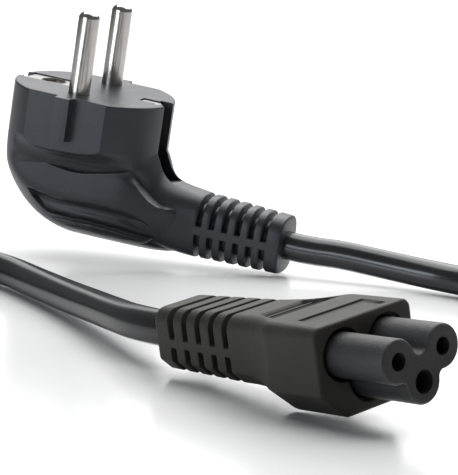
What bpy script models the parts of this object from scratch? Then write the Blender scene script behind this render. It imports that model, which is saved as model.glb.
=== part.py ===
"""Mains lead: angled two-pin earthed plug, round cord with its spare length coiled, cloverleaf connector.

Run with: blender --background --python part.py
Sizes are in millimetres and turned into metres by MM. +Z is up and the floor is at z = 0.
"""

import math

import bpy
import bmesh
import numpy as np
from mathutils import Euler, Matrix, Vector

MM = 0.001
# Running clearance between two pieces, and how far a cutter runs past the surface that it opens
GAP = 0.3
PAST = 2.0

# Middle of the two ends' common box, in the layout's own coordinates
ZERO_X = 50.19
ZERO_Y = -67.04

# Plug: where its face lies, and how it leans on its strain relief
PLUG_FACE = (0.0, 0.0, 38.2)
PLUG_DROP = 7.3
PLUG_LEAN = -3.8

# Plug head: a round drum with a chord cut off on each pin side, and a rib left on each chord
HEAD_RADIUS = 18.35
HEAD_HEIGHT = 15.0
FACE_EDGE = 0.5
CHORD_INSET = 2.05
CHORD_HEIGHT = 11.3
RIB_WIDTH = 3.4
RIB_HEIGHT = 9.3

# Plug handle: it hangs below the head and runs to the strain relief
HANDLE_WIDTH = 23.2
HANDLE_END = 30.0
NECK_START = 15.0
NECK_DEPTH = 14.8
NECK_WIDTH = 16.4
PLUG_HEIGHT = 33.5

# Pins, 19 mm apart
PIN_SPACING = 19.0
PIN_DIAMETER = 4.8
PIN_LENGTH = 19.0
PIN_ROOT = 6.0
PIN_DOME = 1.9

# Earth contact: a strip along the face and down the left side, and a clip down the right side
EARTH_INSET = 7.95
EARTH_OFFSET = HEAD_RADIUS - EARTH_INSET
EARTH_BORE = 4.9
EARTH_WALL = 0.35
EARTH_DEPTH = 12.0
EARTH_HOLE_FLOOR = 3.0
STRIP_THICKNESS = 0.8
STRIP_WIDTH = 6.4
STRIP_PAST_EARTH = 5.8
STRIP_END = EARTH_OFFSET - STRIP_PAST_EARTH
STRIP_CORNER = (2.0, 1.6)
STRIP_TAPER = 2.6
STRIP_SINK = 0.25
CLIP_WIDTH = 4.8
CLIP_LENGTH = 14.0
LEFT_INSET = 1.85
LEFT_SEAT = HEAD_RADIUS - LEFT_INSET
RIGHT_INSET = 3.15
RIGHT_SEAT = HEAD_RADIUS - RIGHT_INSET
CHANNEL_FOOT = 3.4
TAB_LENGTH = 3.6
TAB_WIDTH = 2.6

# Plug strain relief
PLUG_BOOT_START = 24.0
PLUG_BOOT_END = 50.7
PLUG_BOOT_AXIS = 25.4
PLUG_BOOT_WIDTHS = (12.9, 12.0)
PLUG_BOOT_HEIGHTS = (14.4, 13.1)
PLUG_BOOT_ROUND = 5.0
PLUG_SLOTS = 6
PLUG_SLOT_FIRST = 31.5
PLUG_SLOT_PITCH = 3.08

# Both strain reliefs
SLOT_WIDTH = 1.4
SLOT_DEPTH = 1.7
SPINE_WIDTH = 1.7
CORE_ROUND = 0.6

# Connector: where the middle of its two power sockets lies, and how its cord holds it
CONNECTOR_FACE = (116.81, -145.70, 13.0)
CONNECTOR_TURN = -29.5
CONNECTOR_DROP = -4.58
CONNECTOR_LEAN = -10.17

# Cloverleaf nose
SOCKET_HEIGHT = 10.32
SOCKET_SPACING = 10.0
EARTH_SOCKET_DROP = 4.54
LOBE_RADIUS = 3.68
# A notch's fillet is half the gap between its two lobes, plus this
TOP_NOTCH = 0.28
SIDE_NOTCH = 1.4
LEAST_NOTCH = 0.2
NOSE_LENGTH = 12.25
NOSE_ROOT = 5.0
POWER_SOCKET = 3.0
EARTH_SOCKET = 3.9
SOCKET_DEPTH = 13.0
SLEEVE_SINK = 3.0
SLEEVE_WALL = 0.3
RIM_WIDTH = 0.8
RIM_DEPTH = 0.7

# Connector grip
GRIP_WIDTH = 22.0
GRIP_HEIGHT = 15.9
GRIP_CHAMFER_WIDTH = 5.5
GRIP_CHAMFER_HEIGHT = 4.8
GRIP_BLOCK_LENGTH = 12.4
GRIP_TOP_ROUNDS = (1.8, 3.0)
GRIP_EDGE = 0.8
GRIP_BURY = 2.0
GRIP_TUCK = 0.2
LABEL_FROM = 1.8
LABEL_LENGTH = 5.6
LABEL_WIDTH = 14.0
LABEL_DEPTH = 0.35
THUMB_FROM = 13.3
THUMB_LENGTH = 5.8
THUMB_WIDTH = 11.6
THUMB_SINK = 0.6
THUMB_DEPTH = 0.8
THUMB_RIBS = 3
THUMB_RIM = 0.3

# Connector strain relief
BOOT_START = 23.0
BOOT_END = 45.7
BOOT_AXIS = 8.85
BOOT_WIDTHS = (14.8, 12.4)
BOOT_HEIGHTS = (11.8, 11.1)
BOOT_ROUND = 2.4
BOOT_SLOTS = 5
BOOT_SLOT_FIRST = 26.1
BOOT_SLOT_PITCH = 3.73

# Cord and its coil
CORD_DIAMETER = 6.5
COIL_COLUMNS = 3
COIL_LAYERS = 2
COIL_MIDDLE_RADIUS = 36.0
COIL_CENTRE = (6.0, -196.0)
TIE_THICKNESS = 0.7
TIE_WIDTH = 8.0
TIE_ROUND = 1.2
TIE_ANGLE = 60.0
LEAD_OUT = 5.0
TUBE_STEP = 13.0

# The cord's way over the floor from the plug, round the front, to the coil
PLUG_SIDE_ROUTE = [
    (60.0, 1.65, 5.65),
    (66.0, 1.5, 5.00),
    (72.0, 1.2, 4.36),
    (78.0, 0.5, 3.80),
    (84.5, -1.0, 3.42),
    (92.0, -4.2, 3.27),
    (100.0, -9.4, 3.25),
    (108.0, -17.2, 3.25),
    (115.0, -29.5, 3.25),
    (120.5, -48.0, 3.25),
    (126.0, -75.0, 3.25),
    (131.5, -103.0, 3.25),
    (136.5, -130.0, 3.25),
    (140.5, -156.0, 3.25),
    (142.0, -179.0, 3.25),
    (139.0, -200.0, 3.25),
    (128.5, -217.5, 3.25),
    (111.5, -229.5, 3.25),
    (91.0, -236.5, 3.30),
    (69.0, -239.0, 3.60),
]

# The cord's way from the connector, off to the left and round to the coil
CONNECTOR_SIDE_ROUTE = [
    (58.1, -111.7, 6.30),
    (54.2, -108.2, 5.95),
    (47.9, -100.9, 5.38),
    (40.9, -92.3, 4.72),
    (32.9, -82.9, 4.05),
    (24.4, -73.3, 3.55),
    (15.0, -63.4, 3.30),
    (4.6, -53.4, 3.25),
    (-5.6, -46.7, 3.25),
    (-17.6, -44.3, 3.25),
    (-29.6, -46.7, 3.25),
    (-40.2, -53.8, 3.25),
    (-47.3, -64.4, 3.25),
    (-49.6, -77.0, 3.25),
    (-48.0, -95.0, 3.30),
    (-44.0, -114.0, 3.90),
    (-40.5, -134.0, 5.60),
    (-38.0, -153.0, 8.30),
]


def remove_everything():
    """Start from an empty scene."""
    for thing in list(bpy.data.objects):
        bpy.data.objects.remove(thing, do_unlink=True)


def make_collections():
    """One collection for the parts, and one for what cuts or joins them."""
    parts = bpy.data.collections.new("cloverleaf_power_cord")
    cutters = bpy.data.collections.new("cutters")
    bpy.context.scene.collection.children.link(parts)
    bpy.context.scene.collection.children.link(cutters)
    return parts, cutters


remove_everything()
PARTS, CUTTERS = make_collections()


def finish(name, color, roughness, metallic=0.0):
    """A plain Principled BSDF finish."""
    material = bpy.data.materials.new(name)
    material.use_nodes = True
    shader = material.node_tree.nodes["Principled BSDF"]
    shader.inputs["Base Color"].default_value = (*color, 1.0)
    shader.inputs["Roughness"].default_value = roughness
    shader.inputs["Metallic"].default_value = metallic
    return material


def black_plastic(name):
    return finish(name, (0.022, 0.023, 0.026), 0.42)


def nickel(name):
    return finish(name, (0.72, 0.70, 0.66), 0.25, 1.0)


def add(name, mesh, parent=None, cutter=False):
    """Put a mesh in the scene as a named object."""
    thing = bpy.data.objects.new(name, mesh)
    (CUTTERS if cutter else PARTS).objects.link(thing)
    thing.parent = parent
    if cutter:
        thing.hide_render = True
        thing.display_type = "WIRE"
    return thing


def empty(name, place, turn, drop, lean):
    """An empty that carries one end of the lead: turned on the floor, dropped along +X, leant about +X."""
    carrier = bpy.data.objects.new(name, None)
    PARTS.objects.link(carrier)
    carrier.location = ((place[0] - ZERO_X) * MM, (place[1] - ZERO_Y) * MM, place[2] * MM)
    spin = Matrix.Rotation(math.radians(turn), 3, "Z")
    dip = Matrix.Rotation(math.radians(drop), 3, "Y")
    roll = Matrix.Rotation(math.radians(-lean), 3, "X")
    carrier.rotation_euler = (spin @ dip @ roll).to_euler()
    return carrier


def scaled(points):
    return [tuple(value * MM for value in point) for point in points]


def point_outwards(mesh):
    """Weld and turn the faces of a closed mesh outwards."""
    work = bmesh.new()
    work.from_mesh(mesh)
    bmesh.ops.remove_doubles(work, verts=work.verts, dist=0.00001)
    bmesh.ops.recalc_face_normals(work, faces=work.faces)
    work.to_mesh(mesh)
    work.free()


def loft(name, rings, parent, cutter=False):
    """A closed solid through rings of points that all have the same count."""
    count = len(rings[0])
    points = [point for ring in rings for point in ring]
    faces = []
    for low in range(len(rings) - 1):
        for k in range(count):
            after = (k + 1) % count
            faces.append((low * count + k, low * count + after, (low + 1) * count + after, (low + 1) * count + k))
    last = (len(rings) - 1) * count
    faces.append(tuple(reversed(range(count))))
    faces.append(tuple(range(last, last + count)))
    mesh = bpy.data.meshes.new(name)
    mesh.from_pydata(scaled(points), [], faces)
    point_outwards(mesh)
    return add(name, mesh, parent, cutter)


def box(name, low, high, parent, cutter=False):
    """A box between two corners."""
    size = [b - a for a, b in zip(low, high)]
    middle = [(a + b) / 2 for a, b in zip(low, high)]
    work = bmesh.new()
    bmesh.ops.create_cube(work, size=1.0)
    bmesh.ops.scale(work, vec=Vector(size) * MM, verts=work.verts)
    bmesh.ops.translate(work, vec=Vector(middle) * MM, verts=work.verts)
    mesh = bpy.data.meshes.new(name)
    work.to_mesh(mesh)
    work.free()
    return add(name, mesh, parent, cutter)


def cylinder(name, radius, low, high, place, parent, sides=32, cutter=False):
    """A cylinder along local +Z from low to high."""
    work = bmesh.new()
    bmesh.ops.create_cone(work, cap_ends=True, segments=sides, radius1=radius * MM, radius2=radius * MM,
                          depth=(high - low) * MM)
    middle = Vector((place[0], place[1], (low + high) / 2)) * MM
    bmesh.ops.translate(work, vec=middle, verts=work.verts)
    mesh = bpy.data.meshes.new(name)
    work.to_mesh(mesh)
    work.free()
    return add(name, mesh, parent, cutter)


def turned(name, profile, place, parent, steps=32, closed=False):
    """A turned solid: a profile of radius and height, spun round local +Z."""
    mesh = bpy.data.meshes.new(name)
    count = len(profile)
    edges = [(k, k + 1) for k in range(count - 1)]
    if closed:
        edges.append((count - 1, 0))
    mesh.from_pydata(scaled([(radius, 0.0, height) for radius, height in profile]), edges, [])
    thing = add(name, mesh, parent)
    thing.location = Vector(place) * MM
    spin = thing.modifiers.new("turn", "SCREW")
    spin.angle = math.tau
    spin.steps = steps
    spin.render_steps = steps
    spin.use_merge_vertices = True
    spin.merge_threshold = 0.00001
    spin.use_smooth_shade = True
    return thing


def slab(name, outlines, thickness, place, rotation, parent, cutter=False):
    """A flat outline, with any holes, thickened both ways about its plane, as a mesh."""
    curve = bpy.data.curves.new(name, "CURVE")
    curve.dimensions = "2D"
    curve.fill_mode = "BOTH"
    curve.extrude = thickness * MM / 2
    for outline in outlines:
        spline = curve.splines.new("POLY")
        spline.points.add(len(outline) - 1)
        for point, (x, y) in zip(spline.points, outline):
            point.co = (x * MM, y * MM, 0.0, 1.0)
        spline.use_cyclic_u = True
    drawn = bpy.data.objects.new(name + "_curve", curve)
    bpy.context.scene.collection.objects.link(drawn)
    graph = bpy.context.evaluated_depsgraph_get()
    mesh = bpy.data.meshes.new_from_object(drawn.evaluated_get(graph))
    bpy.data.objects.remove(drawn, do_unlink=True)
    point_outwards(mesh)
    thing = add(name, mesh, parent, cutter)
    thing.location = Vector(place) * MM
    thing.rotation_euler = rotation
    return thing


# Local X of the outline along Y, its local Y along Z, its thickness along X
ACROSS = Euler((math.pi / 2, 0.0, math.pi / 2))
# Local X of the outline along X, its local Y along Z, its thickness along Y
ALONG = Euler((math.pi / 2, 0.0, 0.0))
FLAT = Euler((0.0, 0.0, 0.0))


def cut(target, tools):
    """Cut each tool out of the target."""
    for tool in tools:
        knife = target.modifiers.new("cut " + tool.name, "BOOLEAN")
        knife.operation = "DIFFERENCE"
        knife.solver = "EXACT"
        knife.object = tool


def join(target, tool):
    """Make the tool one with the target."""
    union = target.modifiers.new("join " + tool.name, "BOOLEAN")
    union.operation = "UNION"
    union.solver = "EXACT"
    union.object = tool


def arc(centre, radius, start, end, steps):
    """Points on an arc, from one angle to another, both in degrees."""
    angles = np.radians(np.linspace(start, end, steps + 1))
    return [(centre[0] + radius * math.cos(a), centre[1] + radius * math.sin(a)) for a in angles]


def circle(centre, radius, sides=24):
    """Points round a circle, anticlockwise."""
    return arc(centre, radius, 0.0, 360.0 - 360.0 / sides, sides - 1)


def rounded(corners, steps=4):
    """A polygon with its corners rounded. Each corner is x, y and its radius, listed anticlockwise."""
    points = []
    count = len(corners)
    for k in range(count):
        here = Vector(corners[k][:2])
        before = (Vector(corners[k - 1][:2]) - here).normalized()
        after = (Vector(corners[(k + 1) % count][:2]) - here).normalized()
        half = before.angle(after) / 2
        radius = corners[k][2]
        middle = here + (before + after).normalized() * radius / math.sin(half)
        start = here + before * radius / math.tan(half) - middle
        end = here + after * radius / math.tan(half) - middle
        first = math.degrees(math.atan2(start.y, start.x))
        turn = math.degrees(start.angle_signed(end))
        points += arc(middle, radius, first, first - turn, steps)
    return points


def rounded_box(half_width, low, high, radius, steps=4):
    """A rounded rectangle, centred on its first axis."""
    corners = [(half_width, high, radius), (-half_width, high, radius), (-half_width, low, radius),
               (half_width, low, radius)]
    return rounded(corners, steps)


def between(pair, share):
    return pair[0] + (pair[1] - pair[0]) * share


# The plug's body


def egg(left, right, half_width, power, count=48):
    """A closed section: an ellipse squared off by its power, from left to right."""
    middle = (left + right) / 2
    reach = (right - left) / 2
    angles = np.linspace(0.0, math.tau, count, endpoint=False)
    x = middle + reach * np.sign(np.cos(angles)) * np.abs(np.cos(angles)) ** (2 / power)
    y = half_width * np.sign(np.sin(angles)) * np.abs(np.sin(angles)) ** (2 / power)
    return x, y


def plug_sections():
    """Depth below the face, left and right reach, half width and squareness, from the face to the heel."""
    r = HEAD_RADIUS
    half = HANDLE_WIDTH / 2
    neck = HEAD_HEIGHT
    drop = PLUG_HEIGHT - HEAD_HEIGHT
    out = (r, HANDLE_END)
    return [
        (0.0, -(r - FACE_EDGE), r - FACE_EDGE, r - FACE_EDGE, 2.0),
        (FACE_EDGE, -r, r, r, 2.0),
        (neck * 0.80, -r, r, r, 2.0),
        (neck, -r, between(out, 0.06), r * 0.95, 2.0),
        (neck + drop * 0.07, -r, between(out, 0.15), between((r, half), 0.45), 2.05),
        (neck + drop * 0.14, -r, between(out, 0.29), between((r, half), 0.82), 2.15),
        (neck + drop * 0.22, -r, between(out, 0.62), half * 1.02, 2.3),
        (neck + drop * 0.34, -r * 0.98, between(out, 0.90), half, 2.45),
        (neck + drop * 0.50, -r * 0.905, HANDLE_END, half, 2.5),
        (neck + drop * 0.64, -r * 0.815, HANDLE_END, half * 0.99, 2.5),
        (neck + drop * 0.77, -r * 0.68, between(out, 0.97), half * 0.95, 2.5),
        (neck + drop * 0.88, -r * 0.50, between(out, 0.83), half * 0.87, 2.5),
        (neck + drop * 0.96, -r * 0.25, between(out, 0.53), half * 0.72, 2.4),
        (PLUG_HEIGHT, 0.0, between(out, 0.14), half * 0.52, 2.3),
    ]


def plug_shell(parent):
    rings = []
    for depth, left, right, half_width, power in plug_sections():
        x, y = egg(left, right, half_width, power)
        rings.append([(a, b, -depth) for a, b in zip(x, y)])
    return loft("plug_body", rings, parent)


def boot_solid(name, start, end, axis, widths, heights, radius, parent):
    """A strain relief's plain tapered bar, along local X."""
    rings = []
    for share, x in ((0.0, start), (1.0, end)):
        half = between(heights, share) / 2
        outline = rounded_box(between(widths, share) / 2, axis - half, axis + half, radius)
        rings.append([(x, y, z) for y, z in outline])
    return loft(name, rings, parent, cutter=True)


def slot_tools(name, places, span, axis, widths, heights, radius, parent):
    """Half-ring cutters above and below the spine of a strain relief."""
    tools = []
    for number, place in enumerate(places):
        share = (place - span[0]) / (span[1] - span[0])
        half_width = between(widths, share) / 2
        half_height = between(heights, share) / 2
        core = rounded_box(half_width - SLOT_DEPTH, -(half_height - SLOT_DEPTH), half_height - SLOT_DEPTH,
                           max(radius - SLOT_DEPTH, CORE_ROUND))
        spine = SPINE_WIDTH / 2
        for side, label in ((1, "upper"), (-1, "lower")):
            inner = [(y, z * side) for y, z in core if z > spine]
            inner = [(half_width - SLOT_DEPTH, spine)] + [(y, abs(z)) for y, z in inner]
            inner.append((-(half_width - SLOT_DEPTH), spine))
            far = half_width + PAST
            top = half_height + PAST
            outline = inner + [(-far, spine), (-far, top), (far, top), (far, spine)]
            outline = [(y, z * side) for y, z in outline]
            tools.append(slab(f"{name}_{label}_slot_{number}", [outline], SLOT_WIDTH, (place, 0.0, axis),
                              ACROSS, parent, cutter=True))
    return tools


def earth_tools(parent):
    """Seats for the strip and the tab, a channel for each clip, and the earth hole."""
    seat = STRIP_SINK + STRIP_THICKNESS + GAP
    wide = STRIP_WIDTH / 2 + GAP
    tab = TAB_WIDTH / 2 + GAP
    clip = CLIP_WIDTH / 2 + GAP
    foot = CLIP_LENGTH + GAP
    far = HEAD_RADIUS + PAST
    corner = (RIGHT_SEAT + CHANNEL_FOOT, -foot)
    channel = [(HANDLE_END, PAST), (RIGHT_SEAT, PAST)] + arc(corner, CHANNEL_FOOT, 180.0, 270.0, 5)
    channel.append((HANDLE_END, -foot - CHANNEL_FOOT))
    return [
        box("strip_seat", (-LEFT_SEAT - GAP, -wide, -seat), (-STRIP_END + GAP, wide, PAST), parent, True),
        box("tab_seat", (RIGHT_SEAT - TAB_LENGTH - GAP, -tab, -seat), (RIGHT_SEAT + GAP, tab, PAST), parent, True),
        box("left_channel", (-far, -clip, -foot), (-LEFT_SEAT, clip, PAST), parent, True),
        slab("right_channel", [channel], 2 * clip, (0.0, 0.0, 0.0), ALONG, parent, cutter=True),
        cylinder("earth_hole", EARTH_BORE / 2 + EARTH_WALL + GAP, -EARTH_DEPTH - EARTH_HOLE_FLOOR, PAST,
                 (-EARTH_OFFSET, 0.0), parent, cutter=True),
    ]


def plug_tools(parent):
    """What is cut from the plug's body: chords, pin holes, earth hole, strip seats and strain relief slots."""
    tools = []
    reach = HEAD_RADIUS
    rib = RIB_WIDTH / 2
    notch = [(-reach, PAST), (-reach, -CHORD_HEIGHT), (reach, -CHORD_HEIGHT), (reach, PAST), (rib, PAST),
             (rib, -RIB_HEIGHT), (-rib, -RIB_HEIGHT), (-rib, PAST)]
    thick = 2 * (CHORD_INSET + PAST)
    offset = HEAD_RADIUS - CHORD_INSET
    for side, label in ((-1, "near"), (1, "far")):
        tools.append(slab(f"chord_{label}", [notch], thick, (0.0, side * (offset + thick / 2), 0.0), ALONG, parent,
                          cutter=True))
    for side, label in ((-1, "near"), (1, "far")):
        tools.append(cylinder(f"pin_hole_{label}", PIN_DIAMETER / 2 + GAP, -PIN_ROOT - GAP, PAST,
                              (0.0, side * PIN_SPACING / 2), parent, cutter=True))
    leg = max(HANDLE_END - NECK_START, PLUG_HEIGHT - NECK_DEPTH) + PAST
    shoulder = [(NECK_START, -NECK_DEPTH), (NECK_START + leg, -NECK_DEPTH - leg), (NECK_START + leg, -NECK_DEPTH)]
    thick = HEAD_RADIUS
    for side, label in ((-1, "near"), (1, "far")):
        tools.append(slab(f"neck_{label}", [shoulder], thick, (0.0, side * (NECK_WIDTH + thick) / 2, 0.0), ALONG,
                          parent, cutter=True))
    tools += earth_tools(parent)
    places = [PLUG_SLOT_FIRST + k * PLUG_SLOT_PITCH for k in range(PLUG_SLOTS)]
    tools += slot_tools("plug", places, (PLUG_BOOT_START, PLUG_BOOT_END), -PLUG_BOOT_AXIS, PLUG_BOOT_WIDTHS,
                        PLUG_BOOT_HEIGHTS, PLUG_BOOT_ROUND, parent)
    return tools


def make_plug_body(parent):
    body = plug_shell(parent)
    boot = boot_solid("plug_boot", PLUG_BOOT_START, PLUG_BOOT_END, -PLUG_BOOT_AXIS, PLUG_BOOT_WIDTHS,
                      PLUG_BOOT_HEIGHTS, PLUG_BOOT_ROUND, parent)
    join(body, boot)
    cut(body, plug_tools(parent))
    body.data.materials.append(black_plastic("plug moulding"))
    return body


def make_pin(name, side, parent):
    """A round pin with a domed tip, its root sunk in the body."""
    radius = PIN_DIAMETER / 2
    shoulder = PIN_LENGTH - PIN_DOME
    dome = [(radius * math.sin(a), shoulder + PIN_DOME * math.cos(a)) for a in np.linspace(0.0, math.pi / 2, 8)]
    profile = dome + [(radius, -PIN_ROOT), (0.0, -PIN_ROOT)]
    pin = turned(name, profile, (0.0, side * PIN_SPACING / 2, 0.0), parent)
    pin.data.materials.append(nickel(name + " nickel"))
    return pin


def make_earth_strip(parent):
    """The strip on the face with its round opening, bent down the left side as a clip."""
    wide = STRIP_WIDTH / 2
    narrow = CLIP_WIDTH / 2
    outer = LEFT_SEAT + GAP + STRIP_THICKNESS
    shoulder = LEFT_SEAT - STRIP_TAPER
    along, across = STRIP_CORNER
    outline = [(-outer, -narrow), (-shoulder, -wide), (-STRIP_END - along, -wide), (-STRIP_END, -wide + across),
               (-STRIP_END, wide - across), (-STRIP_END - along, wide), (-shoulder, wide), (-outer, narrow)]
    opening = circle((-EARTH_OFFSET, 0.0), EARTH_BORE / 2 + EARTH_WALL)
    top = -STRIP_SINK
    strip = slab("plug_earth_strip", [outline, opening[::-1]], STRIP_THICKNESS,
                 (0.0, 0.0, top - STRIP_THICKNESS / 2), FLAT, parent)
    clip = box("left_clip", (-outer, -narrow, -CLIP_LENGTH), (-outer + STRIP_THICKNESS, narrow, top), parent, True)
    join(strip, clip)
    strip.data.materials.append(nickel("earth strip nickel"))
    return strip


def make_earth_clip(parent):
    """The clip down the right side, with its tab on the face."""
    inner = RIGHT_SEAT + GAP
    narrow = CLIP_WIDTH / 2
    top = -STRIP_SINK
    clip = box("plug_earth_clip", (inner, -narrow, -CLIP_LENGTH), (inner + STRIP_THICKNESS, narrow, top), parent)
    tab = box("right_tab", (RIGHT_SEAT - TAB_LENGTH, -TAB_WIDTH / 2, top - STRIP_THICKNESS),
              (inner + STRIP_THICKNESS / 2, TAB_WIDTH / 2, top), parent, True)
    join(clip, tab)
    clip.data.materials.append(nickel("earth clip nickel"))
    return clip


def make_tube(name, inner, wall, low, high, place, parent, steps=24):
    """A plain open tube along local Z."""
    outer = inner + wall
    profile = [(inner, high), (outer, high), (outer, low), (inner, low)]
    return turned(name, profile, place, parent, steps, closed=True)


def make_plug():
    place = empty("plug_place", PLUG_FACE, 0.0, PLUG_DROP, PLUG_LEAN)
    make_plug_body(place)
    make_pin("plug_pin_near", -1, place)
    make_pin("plug_pin_far", 1, place)
    make_earth_strip(place)
    make_earth_clip(place)
    top = -STRIP_SINK - STRIP_THICKNESS - GAP
    sleeve = make_tube("plug_earth_sleeve", EARTH_BORE / 2, EARTH_WALL, -EARTH_DEPTH, top,
                       (-EARTH_OFFSET, 0.0, 0.0), place)
    sleeve.data.materials.append(nickel("earth sleeve nickel"))
    return place


# The connector, along local X with its sockets' end face at x = 0 and its underside at z = -SOCKET_HEIGHT


def cloverleaf(grow, steps=7):
    """Outline of the nose: three round lobes with rounded notches between them, grown all round."""
    half = SOCKET_SPACING / 2
    lobes = [Vector((half, 0.0)), Vector((-half, 0.0)), Vector((0.0, -EARTH_SOCKET_DROP))]
    radius = LOBE_RADIUS + grow
    notches = []
    for k, margin in enumerate((TOP_NOTCH, SIDE_NOTCH, SIDE_NOTCH)):
        first, second = lobes[k], lobes[(k + 1) % 3]
        along = second - first
        reach = along.length / 2
        size = max(reach - LOBE_RADIUS + margin - grow, LEAST_NOTCH)
        height = math.sqrt((radius + size) ** 2 - reach ** 2)
        outward = Vector((along.y, -along.x)).normalized()
        notches.append(((first + second) / 2 + outward * height, size))
    points = []
    for k in range(3):
        before, after = notches[k - 1], notches[k]
        start = before[0] - lobes[k]
        end = after[0] - lobes[k]
        first = math.degrees(math.atan2(start.y, start.x))
        last = math.degrees(math.atan2(end.y, end.x))
        while last < first:
            last += 360.0
        points += arc(lobes[k], radius, first, last, steps * 2)
        start = lobes[k] - after[0]
        end = lobes[(k + 1) % 3] - after[0]
        first = math.degrees(math.atan2(start.y, start.x))
        turn = math.degrees(start.angle_signed(end))
        points += arc(after[0], after[1], first, first - turn, steps // 2)[1:-1]
    return points


def grip_sections():
    """Distance behind the front face, half width, underside, top, top rounding, chamfer width and height."""
    w, h = GRIP_WIDTH / 2, GRIP_HEIGHT
    a, b = GRIP_CHAMFER_WIDTH, GRIP_CHAMFER_HEIGHT
    block = GRIP_BLOCK_LENGTH
    boot_low = BOOT_AXIS - BOOT_HEIGHTS[0] / 2
    boot_high = BOOT_AXIS + BOOT_HEIGHTS[0] / 2
    boot_half = BOOT_WIDTHS[0] / 2
    neck = BOOT_START - block
    across, under, over = (w, boot_half), (0.0, boot_low), (h, boot_high)
    soft = GRIP_TOP_ROUNDS
    first, last = soft
    return [
        (0.0, w, 0.0, h, first, a, b),
        (block * 0.5, w, 0.0, h, between(soft, 0.15), a, b),
        (block, between(across, 0.03), 0.0, h, between(soft, 0.35), a, b),
        (block + neck * 0.12, between(across, 0.25), between(under, 0.17), between(over, 0.09), between(soft, 0.6),
         a * 0.85, b * 0.8),
        (block + neck * 0.35, between(across, 0.55), between(under, 0.6), between(over, 0.26), between(soft, 0.85),
         a * 0.6, b * 0.55),
        (block + neck * 0.65, between(across, 0.85), between(under, 0.9), between(over, 0.61), last, a * 0.45,
         b * 0.42),
        (BOOT_START + GRIP_BURY, boot_half - GRIP_TUCK, boot_low + GRIP_TUCK / 2, boot_high - GRIP_TUCK / 2, last,
         a * 0.4, b * 0.38),
    ]


def grip_shell(parent):
    rings = []
    for back, w, low, high, top, a, b in grip_sections():
        edge = GRIP_EDGE
        corners = [(w, high, top), (-w, high, top), (-w, low + b, edge), (-w + a, low, edge), (w - a, low, edge),
                   (w, low + b, edge)]
        outline = rounded(corners)
        rings.append([(-NOSE_LENGTH - back, y, z - SOCKET_HEIGHT) for y, z in outline])
    return loft("connector_body", rings, parent)


def thumb_tools(front, top, parent):
    """A shallow thumb panel, and grooves in it that leave the ribs standing."""
    half = THUMB_WIDTH / 2
    start = front - THUMB_FROM
    tools = [box("thumb_panel", (start - THUMB_LENGTH, -half, top - THUMB_SINK), (start, half, top + PAST), parent,
                 True)]
    groove = (THUMB_LENGTH - 2 * THUMB_RIM) / (2 * THUMB_RIBS + 1)
    side = half - THUMB_RIM
    floor = top - THUMB_SINK - THUMB_DEPTH
    for k in range(THUMB_RIBS + 1):
        high = start - THUMB_RIM - 2 * k * groove
        tools.append(box(f"thumb_groove_{k}", (high - groove, -side, floor), (high, side, top + PAST / 2), parent,
                         True))
    return tools


def grip_tools(parent):
    """What is cut from the connector's body: nose pocket, its rim, label panel, thumb ribs and slots."""
    tools = []
    front = -NOSE_LENGTH
    top = GRIP_HEIGHT - SOCKET_HEIGHT
    pocket = NOSE_ROOT + GAP
    length = pocket + PAST
    tools.append(slab("nose_pocket", [cloverleaf(GAP)], length, (front - pocket + length / 2, 0, 0), ACROSS, parent,
                      cutter=True))
    rim = RIM_DEPTH + PAST / 2
    tools.append(slab("nose_rim", [cloverleaf(RIM_WIDTH)], rim, (front - RIM_DEPTH + rim / 2, 0, 0), ACROSS,
                      parent, cutter=True))
    tools.append(box("label_panel", (front - LABEL_FROM - LABEL_LENGTH, -LABEL_WIDTH / 2, top - LABEL_DEPTH),
                     (front - LABEL_FROM, LABEL_WIDTH / 2, top + PAST), parent, True))
    tools += thumb_tools(front, top, parent)
    places = [front - BOOT_SLOT_FIRST - k * BOOT_SLOT_PITCH for k in range(BOOT_SLOTS)]
    tools += slot_tools("boot", places, (front - BOOT_START, front - BOOT_END), BOOT_AXIS - SOCKET_HEIGHT,
                        BOOT_WIDTHS, BOOT_HEIGHTS, BOOT_ROUND, parent)
    return tools


def make_connector_body(parent):
    body = grip_shell(parent)
    front = -NOSE_LENGTH
    boot = boot_solid("connector_boot", front - BOOT_START, front - BOOT_END, BOOT_AXIS - SOCKET_HEIGHT,
                      BOOT_WIDTHS, BOOT_HEIGHTS, BOOT_ROUND, parent)
    join(body, boot)
    cut(body, grip_tools(parent))
    body.data.materials.append(black_plastic("connector moulding"))
    return body


def sockets():
    """Name, place across, place up and bore of each socket."""
    half = SOCKET_SPACING / 2
    return [("near", -half, 0.0, POWER_SOCKET), ("far", half, 0.0, POWER_SOCKET),
            ("earth", 0.0, -EARTH_SOCKET_DROP, EARTH_SOCKET)]


def make_nose(parent):
    """The hard cloverleaf insert with its three sockets."""
    length = NOSE_LENGTH + NOSE_ROOT
    nose = slab("cloverleaf_nose", [cloverleaf(0.0)], length, (-length / 2, 0.0, 0.0), ACROSS, parent)
    tools = []
    for label, y, z, bore in sockets():
        depth = SOCKET_DEPTH + PAST
        outline = circle((y, z), bore / 2)
        tools.append(slab(f"socket_{label}", [outline], depth, (PAST - depth / 2, 0.0, 0.0), ACROSS, parent,
                          cutter=True))
    cut(nose, tools)
    nose.data.materials.append(black_plastic("nose moulding"))
    return nose


def make_contact_sleeves(parent):
    """Three metal contact tubes, one inside each socket."""
    for label, y, z, bore in sockets():
        outer = bore / 2 - GAP
        name = f"contact_sleeve_{label}"
        sleeve = make_tube(name, outer - SLEEVE_WALL, SLEEVE_WALL, -SOCKET_DEPTH + GAP, -SLEEVE_SINK,
                           (0.0, y, z), parent, steps=16)
        sleeve.rotation_euler = (0.0, math.pi / 2, 0.0)
        sleeve.data.materials.append(nickel(name + " nickel"))


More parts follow.
